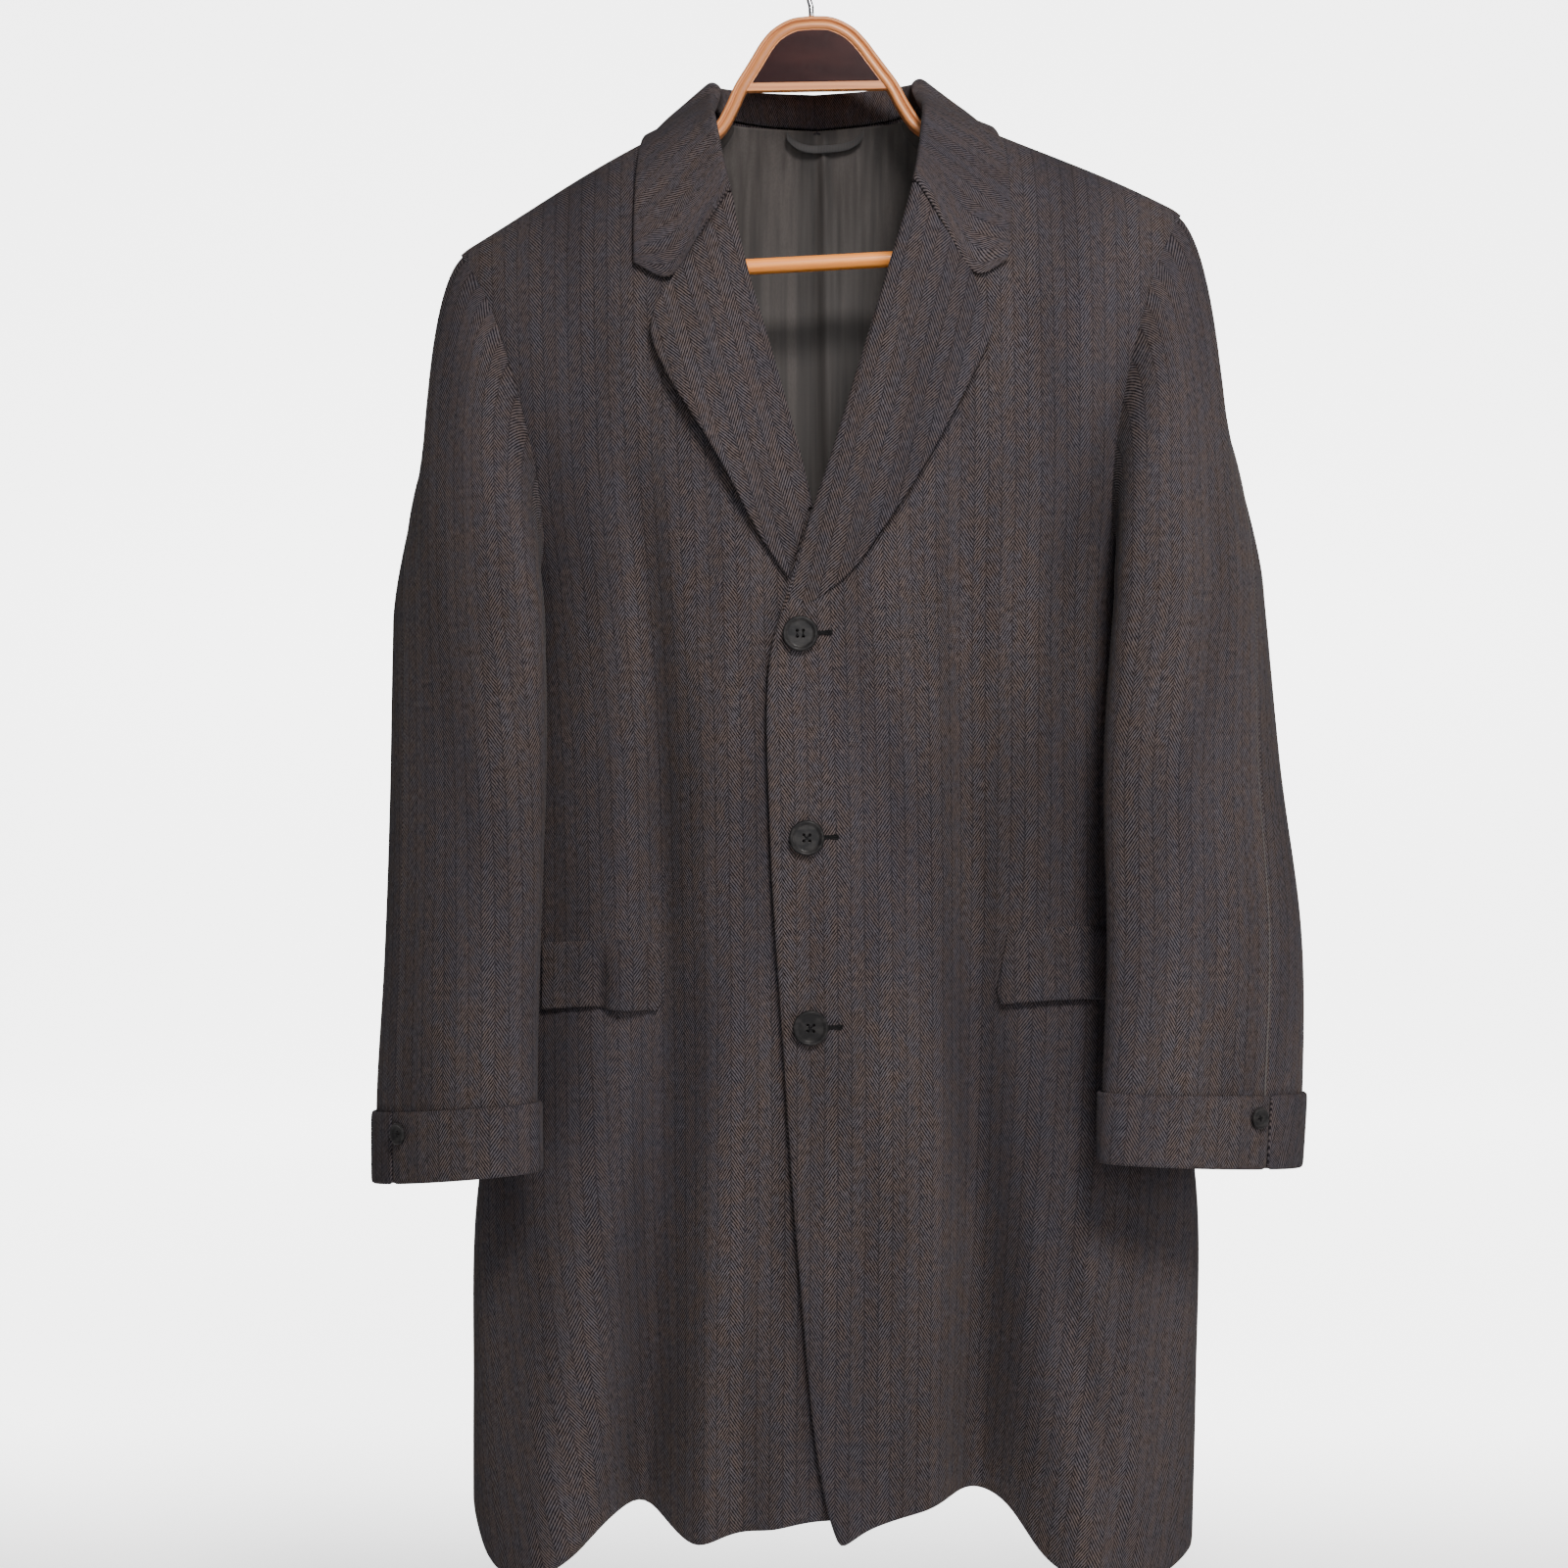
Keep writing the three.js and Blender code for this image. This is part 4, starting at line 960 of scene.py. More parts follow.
PANELS = {
    "front_left": Panel(1, "front", OVER_HEM, shoulder_line, over_inner, over_y),
    "front_right": Panel(-1, "front", UNDER_HEM, shoulder_line, under_inner, under_y),
    "back_left": Panel(1, "back", BACK_HEM_LEFT, back_top, middle_inner, back_y),
    "back_right": Panel(-1, "back", BACK_HEM, back_top, middle_inner, back_y),
}
TUCK = 5
TUCK_END = 0.02
TUCK_START = 0.002
SEAM_HOLD = 0.004
SEAM_CROSSING = 8
SIDE_CROSSING = 30
INSIDE_HALF = 150
INSIDE_DROP = 80
INSIDE_DROP_Z = -400
INSIDE_DROP_SPAN = 180
UNEVEN_SIZES = (38, 60, 170)
SHOULDER_TIP_DROP = 1.3
PANEL_ROWS = steps(58) + steps(12, 1, 2)[1:] + steps(16, 2, 3)[1:]


def seam_after(values):
    """Steps whose last is held crisp and then turned in as a seam."""
    last = values[-1]
    return values[:-1] + [last - SEAM_HOLD, last, last + TUCK_START, last + TUCK_END]


def seam_before(values):
    first = values[0]
    return [first - TUCK_END, first - TUCK_START, first, first + SEAM_HOLD] + values[1:]


def turned_in(p, inside, past):
    """A seam's edge turned in towards a point inside, by how far its step lies past the end."""
    return p + (inside - p).normalized() * TUCK * clamp(past / TUCK_END, 0, 1)


def inside_body(p, side):
    drop = INSIDE_DROP * smooth((p.z - INSIDE_DROP_Z) / INSIDE_DROP_SPAN)
    return Vector((side * INSIDE_HALF, 0, p.z - drop))


def uneven(p, high=1.2):
    """Small unevenness of hanging cloth, which runs mostly up and down."""
    return high * noise.noise(Vector([a / size for a, size in zip(p, UNEVEN_SIZES)]))


def panel_surface(panel):
    outward = -1 if panel.edge == "front" else 1

    def surface(u, v):
        p = panel.point(clamp(u, 0, 1), min(v, 3))
        calm = smooth((3 - v) / 0.6) * smooth(u / 0.12) * smooth((1 - u) / 0.1)
        p.y += outward * uneven(p) * calm
        p.z -= SHOULDER_TIP_DROP * smooth((u - 0.95) / 0.05) * smooth((v - 2.4) / 0.6)
        p = turned_in(p, Vector((-SEAM_CROSSING * panel.side, 0, p.z)), -u)
        inside = inside_body(p, panel.side)
        inside.y = -outward * SIDE_CROSSING * (1 - smooth((v - 0.85) / 0.15))
        return turned_in(p, inside, max(u - 1, v - 3))

    return surface


def make_body():
    made = {}
    for name, panel in PANELS.items():
        is_front = panel.edge == "front"
        outward = Vector((0, -1 if is_front else 1, 0))
        widths = seam_after(steps(46) if is_front else seam_before(steps(36)))
        made[name] = cloth(
            name, panel_surface(panel), widths, seam_after(PANEL_ROWS), [WOOL, LINING],
            panel_grain(PANEL_ROWS.index(2), panel.side),
            out=lambda p, u, v, away=outward: away,
        )
    return made


# Sleeves


def armhole_around(turn):
    """The armhole as a closed curve: turn 0 at the shoulder, 90 in front, 180 under the arm."""
    t = turn % 360
    is_front = t <= 180
    at = 1 - t / 180 if is_front else t / 180 - 1
    x, z = armhole(at, "front" if is_front else "back")
    return Vector((x, over_y(x, z) if is_front else back_y(x, z), z))


def sleeve_oval(rows, turn, z):
    angle = math.radians(turn)
    lean = math.radians(rows.read("lean", z))
    along = rows.read("long", z) * math.sin(angle)
    out = rows.read("short", z) * math.cos(angle)
    return Vector((
        rows.read("x", z) - along * math.cos(lean) + out * math.sin(lean),
        rows.read("y", z) - along * math.sin(lean) - out * math.cos(lean),
        z,
    ))


def sleeve_hem_z(turn):
    return SLEEVE_HEM_Z + SLEEVE_HEM_RISE * math.sin(math.radians(turn))


def sleeve_point(rows, turn, v):
    """v runs 0 to 1 over the sleeve head and 1 to 2 down to the hem."""
    if v > 1:
        return sleeve_oval(rows, turn, mix(SLEEVE_TOP_Z, sleeve_hem_z(turn), v - 1))
    t = turn % 360
    leave = Vector((
        SLEEVE_HEAD.read("out", t), -SLEEVE_HEAD.read("forward", t), -SLEEVE_HEAD.read("down", t),
    ))
    start = armhole_around(turn) + leave.normalized() * HEAD_GAP
    end = sleeve_oval(rows, turn, SLEEVE_TOP_Z)
    fall = -SLEEVE_HEAD.read("fall", t)
    return Vector((
        hermite(start.x, leave.x, end.x, 0, v),
        hermite(start.y, leave.y, end.y, 0, v),
        hermite(start.z, leave.z, end.z, fall, v),
    ))


def hind_seam(v):
    return mix(HIND_SEAM_AT_HEAD, HIND_SEAM_TURN, smooth(v))


def sleeve_surface(side, is_top):
    rows = SLEEVE_ROWS[side]

    def surface(u, v):
        hind = hind_seam(v)
        across = clamp(u, 0, 1)
        if not is_top:
            turn = mix(FOREARM_SEAM_TURN + SEAM_TURN_GAP, hind + 360 - SEAM_TURN_GAP, across)
        elif u < CROWN_SHARE:
            turn = mix(hind + SEAM_TURN_GAP, 0, across / CROWN_SHARE)
        else:
            share = (across - CROWN_SHARE) / (1 - CROWN_SHARE)
            turn = mix(0, FOREARM_SEAM_TURN - SEAM_TURN_GAP, share)
        p = sleeve_point(rows, turn, max(v, 0))
        calm = smooth(v / 0.3) * smooth(u / 0.1) * smooth((1 - u) / 0.1)
        p.y -= uneven(p + Vector((400, 0, 0)), 1.6) * calm
        z = min(p.z, SLEEVE_TOP_Z)
        p = turned_in(p, Vector((rows.read("x", z), rows.read("y", z), p.z)), max(-u, u - 1))
        p.x *= SIDES[side]
        return turned_in(p, inside_body(p, SIDES[side]), -v)

    return surface


def sleeve_out(side):
    rows = SLEEVE_ROWS[side]

    def out(p, u, v):
        z = min(p.z, SLEEVE_TOP_Z)
        middle = Vector((SIDES[side] * rows.read("x", z), rows.read("y", z), p.z))
        return p - middle

    return out


def cuff_point(side, turn, share, stand=CUFF_STAND):
    rows = SLEEVE_ROWS[side]
    rise = math.sin(math.radians(turn))
    z = mix(CUFF_Z + CUFF_RISE * rise, sleeve_hem_z(turn) - SEAM_GAP, share)
    along = sleeve_oval(rows, turn + 0.5, z) - sleeve_oval(rows, turn - 0.5, z)
    out = Vector((along.y, -along.x, 0)).normalized()
    p = sleeve_oval(rows, turn, z)
    middle = Vector((rows.read("x", z), rows.read("y", z), z))
    if (p - middle).dot(out) < 0:
        out.negate()
    p += out * stand
    p.x *= SIDES[side]
    return p


SLEEVE_WIDTHS = seam_before(seam_after(steps(32)))
SLEEVE_HEIGHTS = seam_before(steps(24) + steps(36, 1, 2)[1:])


def make_sleeves():
    made = {}
    for side in SIDES:
        for part in ("top", "under"):
            name = f"sleeve_{part}_{side}"
            straight = CROWN_SHARE if part == "top" else 0.5
            made[name] = cloth(
                name, sleeve_surface(side, part == "top"), SLEEVE_WIDTHS, SLEEVE_HEIGHTS,
                [WOOL, LINING],
                sleeve_grain(SLEEVE_HEIGHTS.index(1), SLEEVE_WIDTHS.index(straight)),
                out=sleeve_out(side),
            )
        first = HIND_SEAM_TURN + CUFF_END_TURN
        last = HIND_SEAM_TURN + 360 - CUFF_END_TURN

        def surface(u, v, side=side, first=first, last=last):
            return cuff_point(side, mix(first, last, u), v)

        name = f"cuff_{side}"
        made[name] = cloth(name, surface, steps(72), steps(8), [WOOL], sleeve_grain(0, 0),
                           thick=CUFF_CLOTH, out=sleeve_out(side))
    return made


# Lapels

FRONT_DEPTH = {"left": over_y, "right": under_y}
LAPEL_LIFT = {"left": LAID, "right": LAID + 0.6}
ROLL_SHARE = 0.1
ROLL_RADIUS = 3.2
ROLL_BEHIND = CLOTH + 1.2
BREAK_SHARE = {"left": 0.8, "right": 1.1}
LAPEL_SWELL = 2.4
EDGE_CURL = 1.6
LAPEL_STAND = 6.5
LAPEL_SLANT = -0.28


def lapel_surface(side):
    rows = LAPEL_ROWS[side]
    depth = FRONT_DEPTH[side]

    def surface(u, v):
        value = functools.partial(rows.read, place=v)
        flat = clamp((u - ROLL_SHARE) / (1 - ROLL_SHARE), 0, 1)
        x = mix(value("roll"), value("edge"), flat)
        z = mix(value("rollZ"), value("edgeZ"), flat)
        sunk = smooth((v - BREAK_SHARE[side]) / 0.2)
        lift = mix(COLLAR_LIFT, LAPEL_LIFT[side], smooth(v / 0.12))
        swell = LAPEL_SWELL * math.sin(math.pi * clamp(flat / 0.7, 0, 1)) * smooth(v / 0.15)
        curl = EDGE_CURL * smooth((flat - 0.75) / 0.25) * smooth(v / 0.15)
        stand = LAPEL_STAND * flat * smooth((v - 0.1) / 0.35) * (1 - smooth((v - 0.68) / 0.2))
        lift = mix(lift + swell + curl + stand, -0.8, sunk)
        level = depth(x, z) - lift
        if u < ROLL_SHARE:
            angle = math.radians(mix(-90, 90, u / ROLL_SHARE))
            deep = mix(lift + ROLL_BEHIND, 1.2, sunk) / 2
            x -= mix(ROLL_RADIUS, 0.2, sunk) * math.cos(angle)
            level += deep * (1 - math.sin(angle))
        return Vector((SIDES[side] * x, level, z))

    return surface


def make_lapels():
    made = {}
    widths = steps(8, 0, ROLL_SHARE) + steps(22, ROLL_SHARE, 1)[1:]
    for side in SIDES:
        name = f"lapel_{side}"
        made[name] = cloth(name, lapel_surface(side), widths, steps(52), [WOOL],
                           slanted_grain(LAPEL_SLANT * SIDES[side]), thick=EDGE_CLOTH)
    return made


# Collar

COLLAR_KEYS = (0, 0.22, 0.4, 0.5, 0.64, 0.78, 1)
COLLAR_FOLD_SHARE = 0.4
COLLAR_FOLD_ROW = 14
COLLAR_LEAF_ROW = 24
COLLAR_LAID_SHARE = 0.5
COLLAR_STAND = 21.6
COLLAR_SIDE_RADIUS = 8.5


def collar_edge(at):
    return Vector([COLLAR.read(name, at) for name in ("edgeX", "edgeY", "edgeZ")])


def wrapped_keys(at, side):
    """The collar beside the lapel: round the front's edge and then flat on the front."""
    z = COLLAR.read("foldZ", at)
    stand = COLLAR_STAND * (2 * at) ** 1.5
    roll = OVER_EDGE.read("x", z - stand)
    y = over_y(roll, z - stand)
    level = y - COLLAR_LIFT
    behind = y + ROLL_BEHIND
    fold = (level + behind) / 2
    start = Vector((roll, level, z))
    edge = collar_edge(at)
    (notch_x, notch_z), (corner_x, corner_z) = COLLAR_ENDS[side]
    ending = 1 - smooth(at / COLLAR_END_SHARE)
    leaf = start.lerp(edge, 0.5).lerp(Vector((notch_x, level, notch_z)), ending)
    edge = edge.lerp(Vector((corner_x, level, corner_z)), ending)
    return [
        Vector((roll + 5, behind, z - stand)), Vector((roll - 1, behind, z - stand / 3)),
        Vector((roll - ROLL_RADIUS, fold, z)), start, start.lerp(leaf, 0.5), leaf, edge,
    ]


def standing_keys(at):
    """The collar round the back of the neck: up the stand, over the fold and down the leaf."""
    place = functools.partial(COLLAR_BACK.read, place=at)
    seam = Vector((place("seamX"), place("seamY"), COLLAR.read("seamZ", at)))
    fold = Vector((place("foldX"), place("foldY"), COLLAR.read("foldZ", at)))
    edge = collar_edge(at)
    angle = COLLAR.read("out", at) * math.pi / 2
    out = Vector((math.cos(angle), math.sin(angle), 0))
    radius = mix(COLLAR_SIDE_RADIUS, COLLAR_FOLD_RADIUS, smooth((at - 0.5) / 0.3))
    below = Vector((0, 0, -0.7 * radius))
    inside = fold - out * radius + below
    outside = fold + out * radius + below
    leaf = outside.lerp(edge, 0.55) + out * COLLAR_BULGE
    return [seam, inside, fold, outside, outside.lerp(leaf, 0.5), leaf, edge]


@functools.lru_cache(maxsize=None)
def collar_section(at, side):
    standing = smooth((at - COLLAR_FRONT_SHARE) / (0.5 - COLLAR_FRONT_SHARE))
    keys = [
        a.lerp(b, standing) for a, b in zip(wrapped_keys(min(at, 0.5), side), standing_keys(at))
    ]
    return Chart("w x y z", *((w, *p) for w, p in zip(COLLAR_KEYS, keys)))


def collar_point(at, w, side):
    section = collar_section(round(at, 5), side)
    p = Vector([section.read(axis, w) for axis in "xyz"])
    share = smooth((w - COLLAR_FOLD_SHARE) / (COLLAR_LAID_SHARE - COLLAR_FOLD_SHARE))
    under = p.z - COLLAR_LIFT
    if share > 0 and under <= shoulder_line(p.x):
        if at < 0.5:
            level = min(p.y, over_y(p.x, under) - COLLAR_LIFT)
        else:
            level = max(p.y, back_y(p.x, under) + COLLAR_LIFT)
        p.y = mix(p.y, level, share)
    return p


def collar_surface(u, w):
    side = "left" if u >= 0.5 else "right"
    p = collar_point(1 - abs(2 * u - 1), w, side)
    p.x *= SIDES[side]
    return p


def collar_out(p, u, w):
    """The leaf faces away from the neck."""
    return Vector((p.x, p.y, 40)) if w > 0.7 else Vector((0, 0, 0))


def make_collar():
    widths = steps(COLLAR_FOLD_ROW, 0, COLLAR_FOLD_SHARE) + steps(20, COLLAR_FOLD_SHARE, 1)[1:]
    grain = folded_grain(COLLAR_FOLD_ROW, COLLAR_LEAF_ROW)
    return cloth("collar", collar_surface, steps(132), widths, [WOOL], grain,
                 thick=EDGE_CLOTH, out=collar_out)


# Pocket flaps


def flap_surface(side):
    depth = FRONT_DEPTH[side]
    is_left = side == "left"

    def surface(u, v):
        front = FLAP_FRONT - FLAP_LEFT_START - FLAP_LEFT_SLANT * v if is_left else FLAP_FRONT
        corner = FLAP_CORNER * smooth((v - 0.8) / 0.2) * (1 - smooth(u / 0.06))
        x = mix(front + corner, FLAP_FAR, u)
        z = FLAP_TOP_Z - FLAP_HEIGHT * v + FLAP_BOW * (1 - (2 * u - 1) ** 2)
        lift = mix(-1, LAID, smooth(v / 0.12)) + EDGE_CURL * smooth((v - 0.6) / 0.4)
        if not is_left:
            crease = FLAP_BULGE * bump_at(u, 0.32, 0.12) - FLAP_CREASE * bump_at(u, 0.5, 0.05)
            lift += smooth(v / 0.6) * crease
            z += FLAP_RAISE * v * smooth((u - 0.36) / 0.22)
        return Vector((SIDES[side] * x, depth(x, z) - lift, z))

    return surface


def make_flaps():
    made = {}
    for side in SIDES:
        name = f"flap_{side}"
        made[name] = cloth(name, flap_surface(side), steps(40), steps(20), [WOOL],
                           slanted_grain(0), thick=FLAP_CLOTH)
    return made


# Lining and hanging loop

LINING_TOP_Z = -135
LINING_LOW_Z = -505
LINING_TOP_HALF = 62
LINING_LOW_HALF = 192
LINING_EASE = 2.4
LINING_CLOTH = 0.6
LINING_PLEAT = 3.2
LINING_SAG = 2.2
LOOP_MIDDLE = 6
LOOP_REACH = 29
LOOP_TOP_Z = -139.5
LOOP_DROP = 9
LOOP_EASE = 6.2
LOOP_HALF_TALL = 3.2
LOOP_HALF_THICK = 0.9


def lining_surface(u, v):
    z = mix(LINING_TOP_Z, LINING_LOW_Z, v * mix(0.35, 1, v))
    half = mix(LINING_TOP_HALF, LINING_LOW_HALF, smooth(v / 0.6))
    x = mix(-half, half, u)
    pleat = LINING_PLEAT * bump_at(x, 4, 3.5) * smooth(v / 0.15)
    sag = LINING_SAG * math.sin(x / 17) * smooth(v / 0.2) * smooth((half - abs(x)) / 20)
    return Vector((x, back_y(abs(x), z) - CLOTH - LINING_EASE - pleat - sag, z))


def make_lining():
    return cloth("lining_back", lining_surface, steps(90), steps(46), [LINING],
                 slanted_grain(0), thick=LINING_CLOTH, kind="satin")


def loop_path(u):
    x = LOOP_MIDDLE + mix(-LOOP_REACH, LOOP_REACH, u)
    z = LOOP_TOP_Z - LOOP_DROP * (1 - (2 * u - 1) ** 4)
    return Vector((x, back_y(x, z) - CLOTH - LOOP_EASE, z))


def make_loop():
    turns = [k * math.tau / 12 for k in range(12)]
    oval = [
        Vector((0, LOOP_HALF_THICK * math.sin(a), LOOP_HALF_TALL * math.cos(a))) / 1000
        for a in turns
    ]
    path = [settle(loop_path(u)) for u in steps(40)]
    sections = [[middle + p for p in oval] for middle in path]
    subdivide(sweep("tape_hanging_loop", sections, TAPE, ["hanging_loop"]))


# Buttons

HOLE_SHARE = 0.17
FACE_SHARE = 0.68
RIM_PROFILE = ((0.78, 0.80), (0.86, 1.0), (0.94, 1.0), (1.0, 0.78), (1.0, 0.36), (0.84, 0.0))
STITCH = 0.2
HOLE_HALF = 13.5
HOLE_TALL = 0.9
HOLE_EYE = 1.9
HOLE_PAST_BUTTON = 8.5


def button_mesh(radius, thick):
    """A button with four holes and a raised rim, facing +Z from its back at 0."""
    bm = bmesh.new()
    off = HOLE_SHARE * radius
    around = bmesh.ops.create_circle(bm, segments=40, radius=0.70 * radius)["verts"]
    holes = []
    for x, y in ((off, off), (-off, off), (-off, -off), (off, -off)):
        made = bmesh.ops.create_circle(bm, segments=10, radius=0.085 * radius)["verts"]
        bmesh.ops.translate(bm, verts=made, vec=(x, y, 0))
        holes.append(made)
    rim = list({e for v in around for e in v.link_edges})
    inner = [list({e for v in ring for e in v.link_edges}) for ring in holes]
    bmesh.ops.translate(bm, verts=bm.verts[:], vec=(0, 0, FACE_SHARE * thick))
    bmesh.ops.triangle_fill(bm, use_beauty=True, edges=rim + sum(inner, []))
    edges = rim
    for share, height in RIM_PROFILE:
        verts, edges = drawn_on(bm, edges)
        for vert in verts:
            flat = Vector((vert.co.x, vert.co.y)).normalized() * radius * share
            vert.co = (flat.x, flat.y, thick * height)
    backs = list(edges)
    for ring in inner:
        verts, low = drawn_on(bm, ring)
        for vert in verts:
            vert.co.z = 0
        backs += low
    bmesh.ops.triangle_fill(bm, use_beauty=True, edges=backs)
    bmesh.ops.recalc_face_normals(bm, faces=bm.faces[:])
    return bm


def placing(seat, facing):
    """Turns +Z to a facing and moves it to a seat. Sizes are millimetres until then."""
    turn = Vector((0, 0, 1)).rotation_difference(facing).to_matrix().to_4x4()
    return Matrix.Translation(seat) @ turn @ Matrix.Scale(0.001, 4)


def make_button(name, radius, thick, seat, facing, crossed):
    bm = button_mesh(radius, thick)
    place = placing(seat, facing)
    bmesh.ops.transform(bm, matrix=place, verts=bm.verts[:])
    obj = finished(f"horn_{name}", bm, [HORN], [name])
    bevel = obj.modifiers.new("worn_edges", "BEVEL")
    bevel.width = 0.00025
    bevel.segments = 2
    bevel.limit_method = "ANGLE"
    for polygon in obj.data.polygons:
        polygon.use_smooth = len(polygon.vertices) == 4
    off = HOLE_SHARE * radius
    top = FACE_SHARE * thick
    pairs = ((off, off), (-off, -off)), ((-off, off), (off, -off))
    if not crossed:
        pairs = ((off, off), (off, -off)), ((-off, off), (-off, -off))
    bm = bmesh.new()
    for start, end in pairs:
        for shift in (-0.24, 0.0, 0.24):
            path = []
            for t in steps(12):
                rise = math.sin(math.pi * t) ** 0.5 * 0.55
                x = mix(start[0], end[0], t) + shift
                y = mix(start[1], end[1], t)
                low = -1.2 if t in (0.0, 1.0) else 0.0
                path.append(Vector((x, y, top + rise + low + 0.08 * shift)))
            skin(bm, tube_rings(path, STITCH, 8))
    bmesh.ops.transform(bm, matrix=place, verts=bm.verts[:])
    finished(f"thread_{name}", bm, [THREAD], [])


def make_buttonhole(name, x, z):
    """A corded keyhole whose stitched slit shows past the button."""
    centre = x + HOLE_PAST_BUTTON

    def on_front(px, pz):
        return settle(Vector((px, over_y(px, pz) - 0.4, pz)))

    rim = []
    for t in steps(56)[:-1]:
        angle = t * math.tau
        reach = (HOLE_HALF - HOLE_TALL) * clamp(math.cos(angle) * 1.25, -1, 1)
        px = centre + reach + HOLE_TALL * math.cos(angle)
        high = mix(HOLE_TALL, HOLE_EYE, smooth((px - centre - HOLE_HALF + 5) / 3))
        rim.append(on_front(px, z + high * math.sin(angle)))
    bm = bmesh.new()
    skin(bm, tube_rings(rim, 0.0006, 8, closed=True), closed=True)
    slit = [on_front(centre + HOLE_HALF * t, z) for t in steps(24, -0.94, 0.94)]
    skin(bm, tube_rings(slit, 0.0005, 8))
    finished(name, bm, [THREAD], [])


def make_buttons():
    for name, (x, z) in BUTTONS.items():
        seat = settle(Vector((x, over_y(x, z) - BUTTON_LIFT, z)))
        make_button(name, BUTTON_RADIUS, BUTTON_THICK, seat, Vector((0, -1, 0)),
                    name != "button_top")
        make_buttonhole(name.replace("button", "buttonhole"), x, z)
    share = (CUFF_BUTTON_Z - CUFF_Z) / (SLEEVE_HEM_Z - CUFF_Z)
    for side in SIDES:
        near = cuff_point(side, CUFF_BUTTON_TURN, share)
        far = cuff_point(side, CUFF_BUTTON_TURN, share, CUFF_STAND + 1)
        make_button(f"cuff_button_{side}", CUFF_BUTTON_RADIUS, CUFF_BUTTON_THICK,
                    settle(near + (far - near) * 0.5), (far - near).normalized(), True)


# Hanger


def hanger_chart():
    """The bent frame's centre line from the top of the arch to one end."""
    def arm(x, lower=0.0):
        return shoulder_line(x) - ARM_BELOW_SEAM - lower

    return Chart.counted(
        "x z deep",
        (0, ARCH_TOP_Z, 6), (14, -68, 6), (26.5, -74.5, 6), (35, -83.5, 6), (41.5, -93, 6),
        (48, -102.5, 6), (56, -114.5, 6.5), (63.5, -129.5, 6.5), (73, -143.5, 6.5),
        (88, -151.5, 7.5), (110, arm(110), 8.5), (150, arm(150), 9), (200, arm(200), 9),
        (219, arm(219, 1), 9), (228, -228, 10), (BAR_END, -250, 9),
    )


HANGER = hanger_chart()
ROUND = 1.6
GROOVE = 2.2


def hanger_at(share):
    """A place on the bent wood, from one end (-1) over the arch (0) to the other (1)."""
    side = -1 if share < 0 else 1
    at = abs(share)
    return Vector((side * HANGER.read("x", at), 0, HANGER.read("z", at))), HANGER.read("deep", at)


def hanger_normal(share):
    before = hanger_at(max(share - 0.004, -1))[0]
    after = hanger_at(min(share + 0.004, 1))[0]
    along = (after - before).normalized()
    return Vector((-along.z, 0, along.x))


def frame_ring(share):
    """The wood's section: rounded, with a groove cut round its front."""
    centre, deep = hanger_at(share)
    normal = hanger_normal(share)
    half = HANGER_HALF_THICK
    groove = GROOVE - deep
    ring = []
    for n, y in ((half, deep - ROUND), (half - 0.5, deep - 0.5), (half - ROUND, deep),
                 (ROUND - half, deep), (0.5 - half, deep - 0.5), (-half, deep - ROUND),
                 (-half, ROUND - deep), (0.5 - half, 0.5 - deep), (ROUND - half, -deep),
                 (0.6, -deep), (0.9, groove), (1.8, groove), (2.1, -deep),
                 (half - ROUND, -deep), (half - 0.5, 0.5 - deep), (half, ROUND - deep)):
        ring.append(settle(centre + normal * n + Vector((0, y, 0))))
    return ring


def plate(name, outline, low_y, high_y, finish):
    """A flat plate of an outline, with softened edges, in place of the hanger's panel."""
    bm = bmesh.new()
    face = bm.faces.new([bm.verts.new(settle(Vector((x, low_y, z)))) for x, z in outline])
    made = bmesh.ops.extrude_face_region(bm, geom=[face])["geom"]
    verts = [g for g in made if isinstance(g, bmesh.types.BMVert)]
    bmesh.ops.translate(bm, verts=verts, vec=(0, (high_y - low_y) / 1000, 0))
    bmesh.ops.recalc_face_normals(bm, faces=bm.faces[:])
    sharp = [e for e in bm.edges if e.calc_face_angle(0) > 1]
    bmesh.ops.bevel(bm, geom=sharp, offset=0.0004, offset_type="OFFSET", segments=2,
                    profile=0.5, material=-1, affect="EDGES")
    obj = finished(name, bm, [finish], ["hanger_panel"])
    for polygon in obj.data.polygons:
        polygon.use_smooth = False


def arch_outline(inset, low_z):
    """The inside of the arch, closed by a level edge at low_z."""
    half = []
    for i in range(60):
        share = i / 59 * 0.5
        p = hanger_at(share)[0] - hanger_normal(share) * inset
        if p.z < low_z:
            last = half[-1]
            t = (last[1] - low_z) / (last[1] - p.z)
            half.append((mix(last[0], p.x, t), low_z))
            break
        half.append((p.x, p.z))
    return [(-x, z) for x, z in reversed(half[1:])] + half


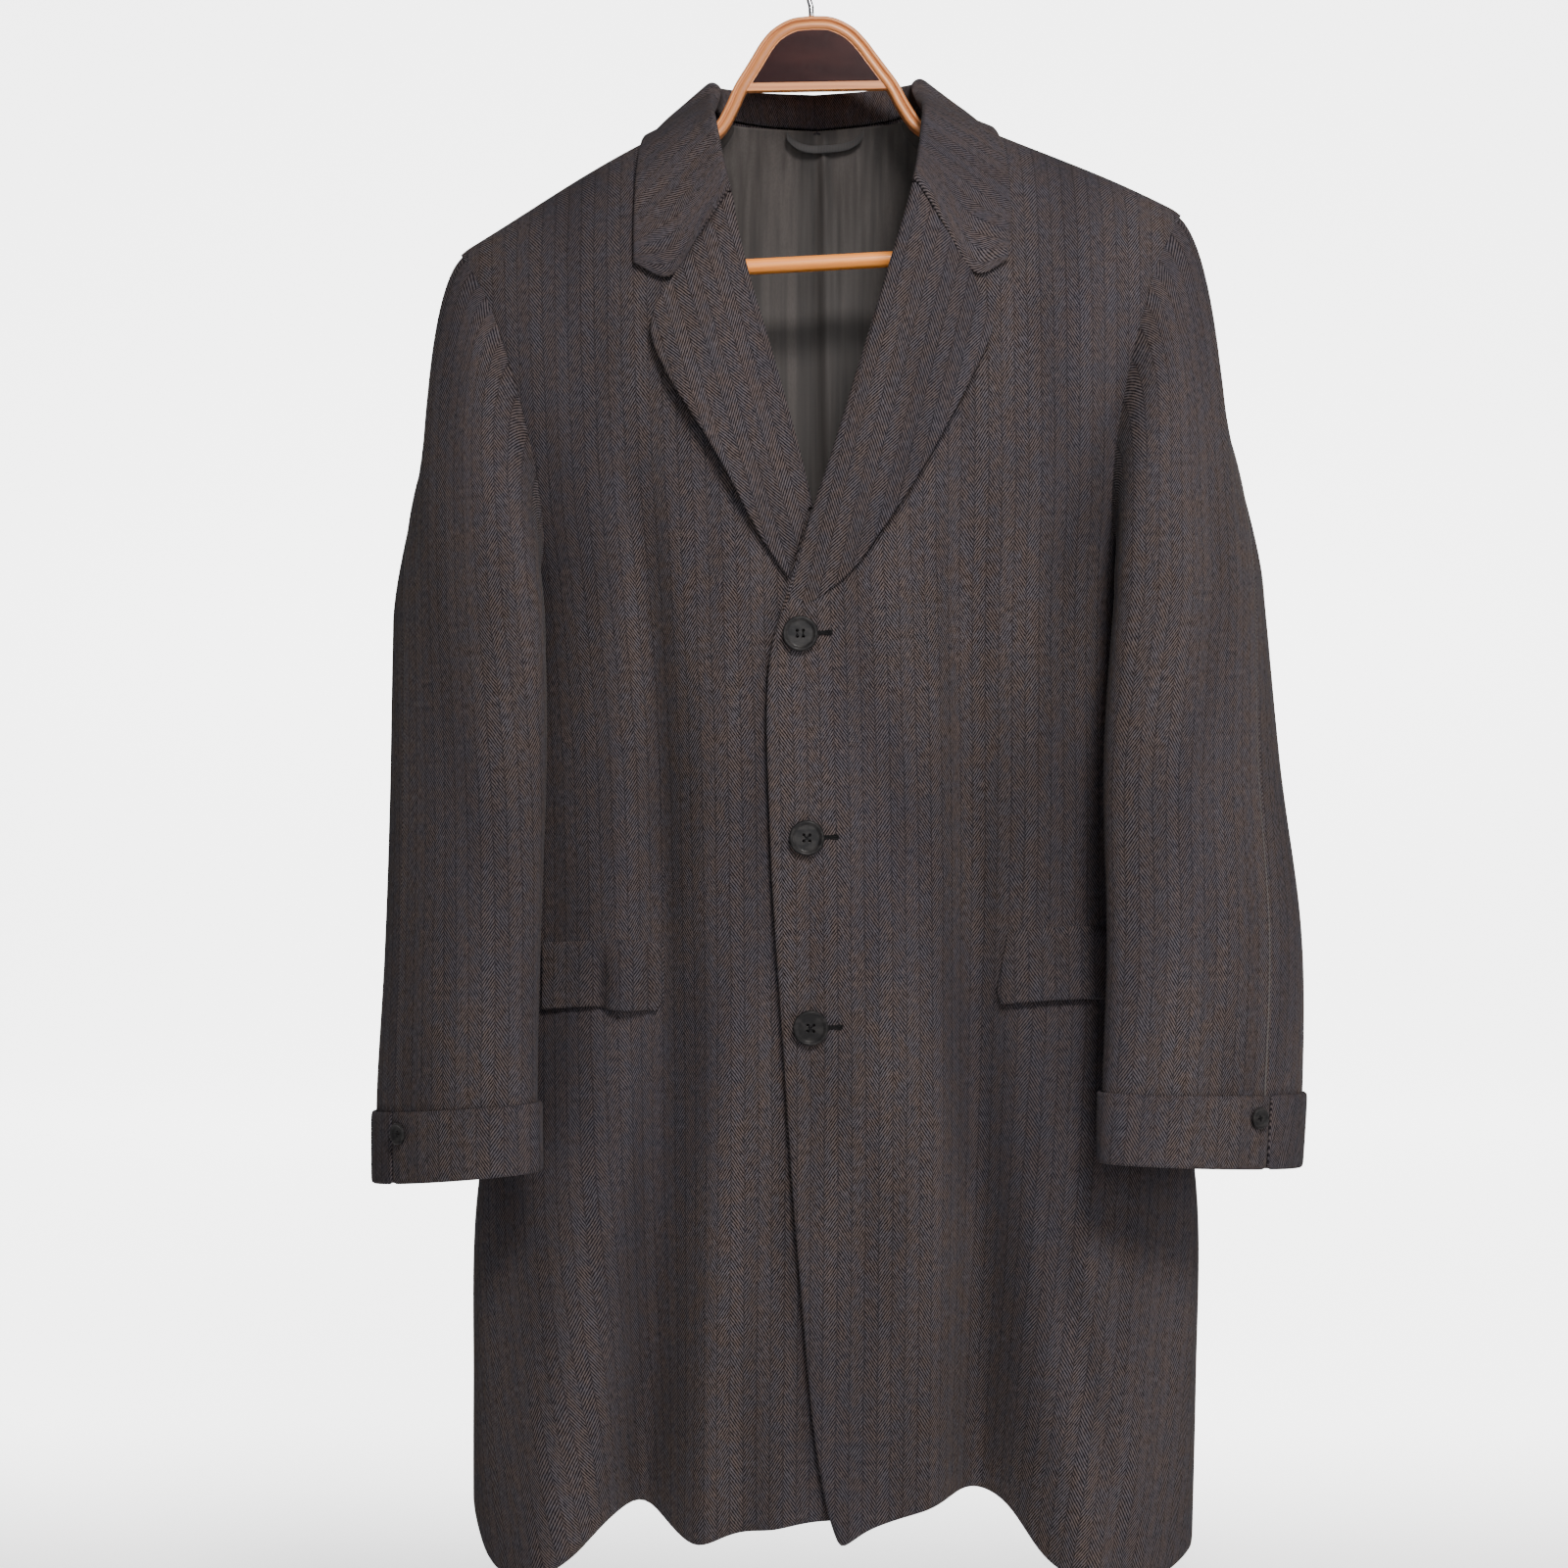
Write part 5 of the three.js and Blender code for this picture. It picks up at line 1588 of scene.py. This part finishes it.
def make_hanger():
    sweep("wood_hanger_frame", [frame_ring(t) for t in steps(150, -1, 1)], BENT_WOOD,
          ["hanger_frame"])
    board = arch_outline(HANGER_HALF_THICK - 0.3, BOARD_LOW_Z)
    plate("wood_hanger_board", board, -4.2, 2.5, FLAT_WOOD)
    plaque = arch_outline(HANGER_HALF_THICK + 0.8, BOARD_LOW_Z + 6)
    plate("gloss_hanger_plaque", plaque, -4.9, -4.0, PLAQUE)
    reach = BAR_END - HANGER_HALF_THICK + 0.5
    bar = [settle(Vector((x, 0, BAR_Z))) for x in steps(24, -reach, reach)]
    sweep("wood_hanger_bar", tube_rings(bar, BAR_RADIUS / 1000, 28), TURNED_WOOD,
          ["hanger_bar"])
    foot = ARCH_TOP_Z + HANGER_HALF_THICK
    path = [Vector((0, 0, foot - 3)), Vector((0, 0, foot + 4)), Vector((0, 0, foot + 8)),
            Vector((-1.5, 0, foot + 14))]
    for turn in steps(60, 250, -25):
        angle = math.radians(turn)
        spoke = Vector((math.cos(angle), 0, math.sin(angle)))
        path.append(Vector((0, 0, HOOK_WIRE - HOOK_RADIUS)) + spoke * HOOK_RADIUS)
    rings = tube_rings([settle(p) for p in path], HOOK_WIRE / 1000, 16)
    sweep("steel_hanger_hook", rings, STEEL, ["hanger_hook"])


# Camera, light and floor

CAMERA_AT = (-0.0187, -1.875, -0.624)
CAMERA_LENS = 58.7
CAMERA_SENSOR = 36
FLOOR_Z = -1.32
FLOOR_START = -3.2
FLOOR_LENGTH = 12.0
FLOOR_BEND = 6.7
FLOOR_RADIUS = 1.0


def make_camera():
    data = bpy.data.cameras.new("camera")
    data.lens = CAMERA_LENS
    data.sensor_width = CAMERA_SENSOR
    camera = in_scene("camera", data)
    camera.location = CAMERA_AT
    camera.rotation_euler = (math.pi / 2, 0, 0)
    bpy.context.scene.camera = camera


def area_light(name, at, aim, size, power, colour):
    data = bpy.data.lights.new(name, "AREA")
    data.shape = "DISK"
    data.size = size
    data.energy = power
    data.color = colour
    light = in_scene(name, data)
    light.location = at
    light.rotation_euler = (Vector(aim) - Vector(at)).to_track_quat("-Z", "Y").to_euler()


def studio_white(place):
    """White that glows only behind the coat, so that the coat's sides stay dark."""
    cloud = place.noise((2, 2, 2))
    beside = place.part("X").math("ABSOLUTE", place.part("X")).between(2.1, 2.4)
    behind = place.part("Y").between(0.0, 1.0)
    glow = behind * (1.0 - beside)
    return {
        "Base Color": cloud.mixed((0.86, 0.86, 0.86), (0.9, 0.9, 0.9)),
        "Emission Color": glow.mixed((0.05, 0.05, 0.05), (1, 1, 1)),
    }


def make_studio():
    """A pale floor that curves up into a wall behind the coat, and soft lights."""
    bm = bmesh.new()
    bmesh.ops.create_grid(bm, x_segments=2, y_segments=60, size=0.5)
    for vert in bm.verts:
        along = (vert.co.y + 0.5) * FLOOR_LENGTH
        y = FLOOR_START + along
        z = FLOOR_Z
        if along > FLOOR_BEND:
            angle = min((along - FLOOR_BEND) / FLOOR_RADIUS, math.pi / 2)
            y = FLOOR_START + FLOOR_BEND + FLOOR_RADIUS * math.sin(angle)
            up = max(along - FLOOR_BEND - FLOOR_RADIUS * math.pi / 2, 0)
            z += FLOOR_RADIUS * (1 - math.cos(angle)) + up
        vert.co = (vert.co.x * FLOOR_LENGTH, y, z)
    bmesh.ops.recalc_face_normals(bm, faces=bm.faces[:])
    white = material("studio_white", {"Roughness": 0.9, "Emission Strength": 4.0}, studio_white)
    floor = smooth_object("studio_floor", bm, [white])
    world = bpy.data.worlds.new("studio")
    world.use_nodes = True
    background = world.node_tree.nodes["Background"].inputs
    background["Color"].default_value = (0.92, 0.95, 1, 1)
    background["Strength"].default_value = 0.05
    bpy.context.scene.world = world
    area_light("key", (0.45, -1.85, 0.92), (0.05, 0, -0.6), 0.65, 84, (1, 0.95, 0.92))
    area_light("side", (2.0, -1.5, -0.4), (0.1, 0, -0.6), 0.8, 19, (1, 0.97, 0.95))
    area_light("fill", (0.1, -2.8, -0.2), (0, 0, -0.5), 1.2, 17, (0.95, 0.97, 1))


make_camera()
make_studio()
coat = make_body()
coat.update(make_sleeves())
coat.update(make_lapels())
coat["collar"] = make_collar()
coat.update(make_flaps())
coat["lining_back"] = make_lining()
make_loop()
make_buttons()
make_hanger()
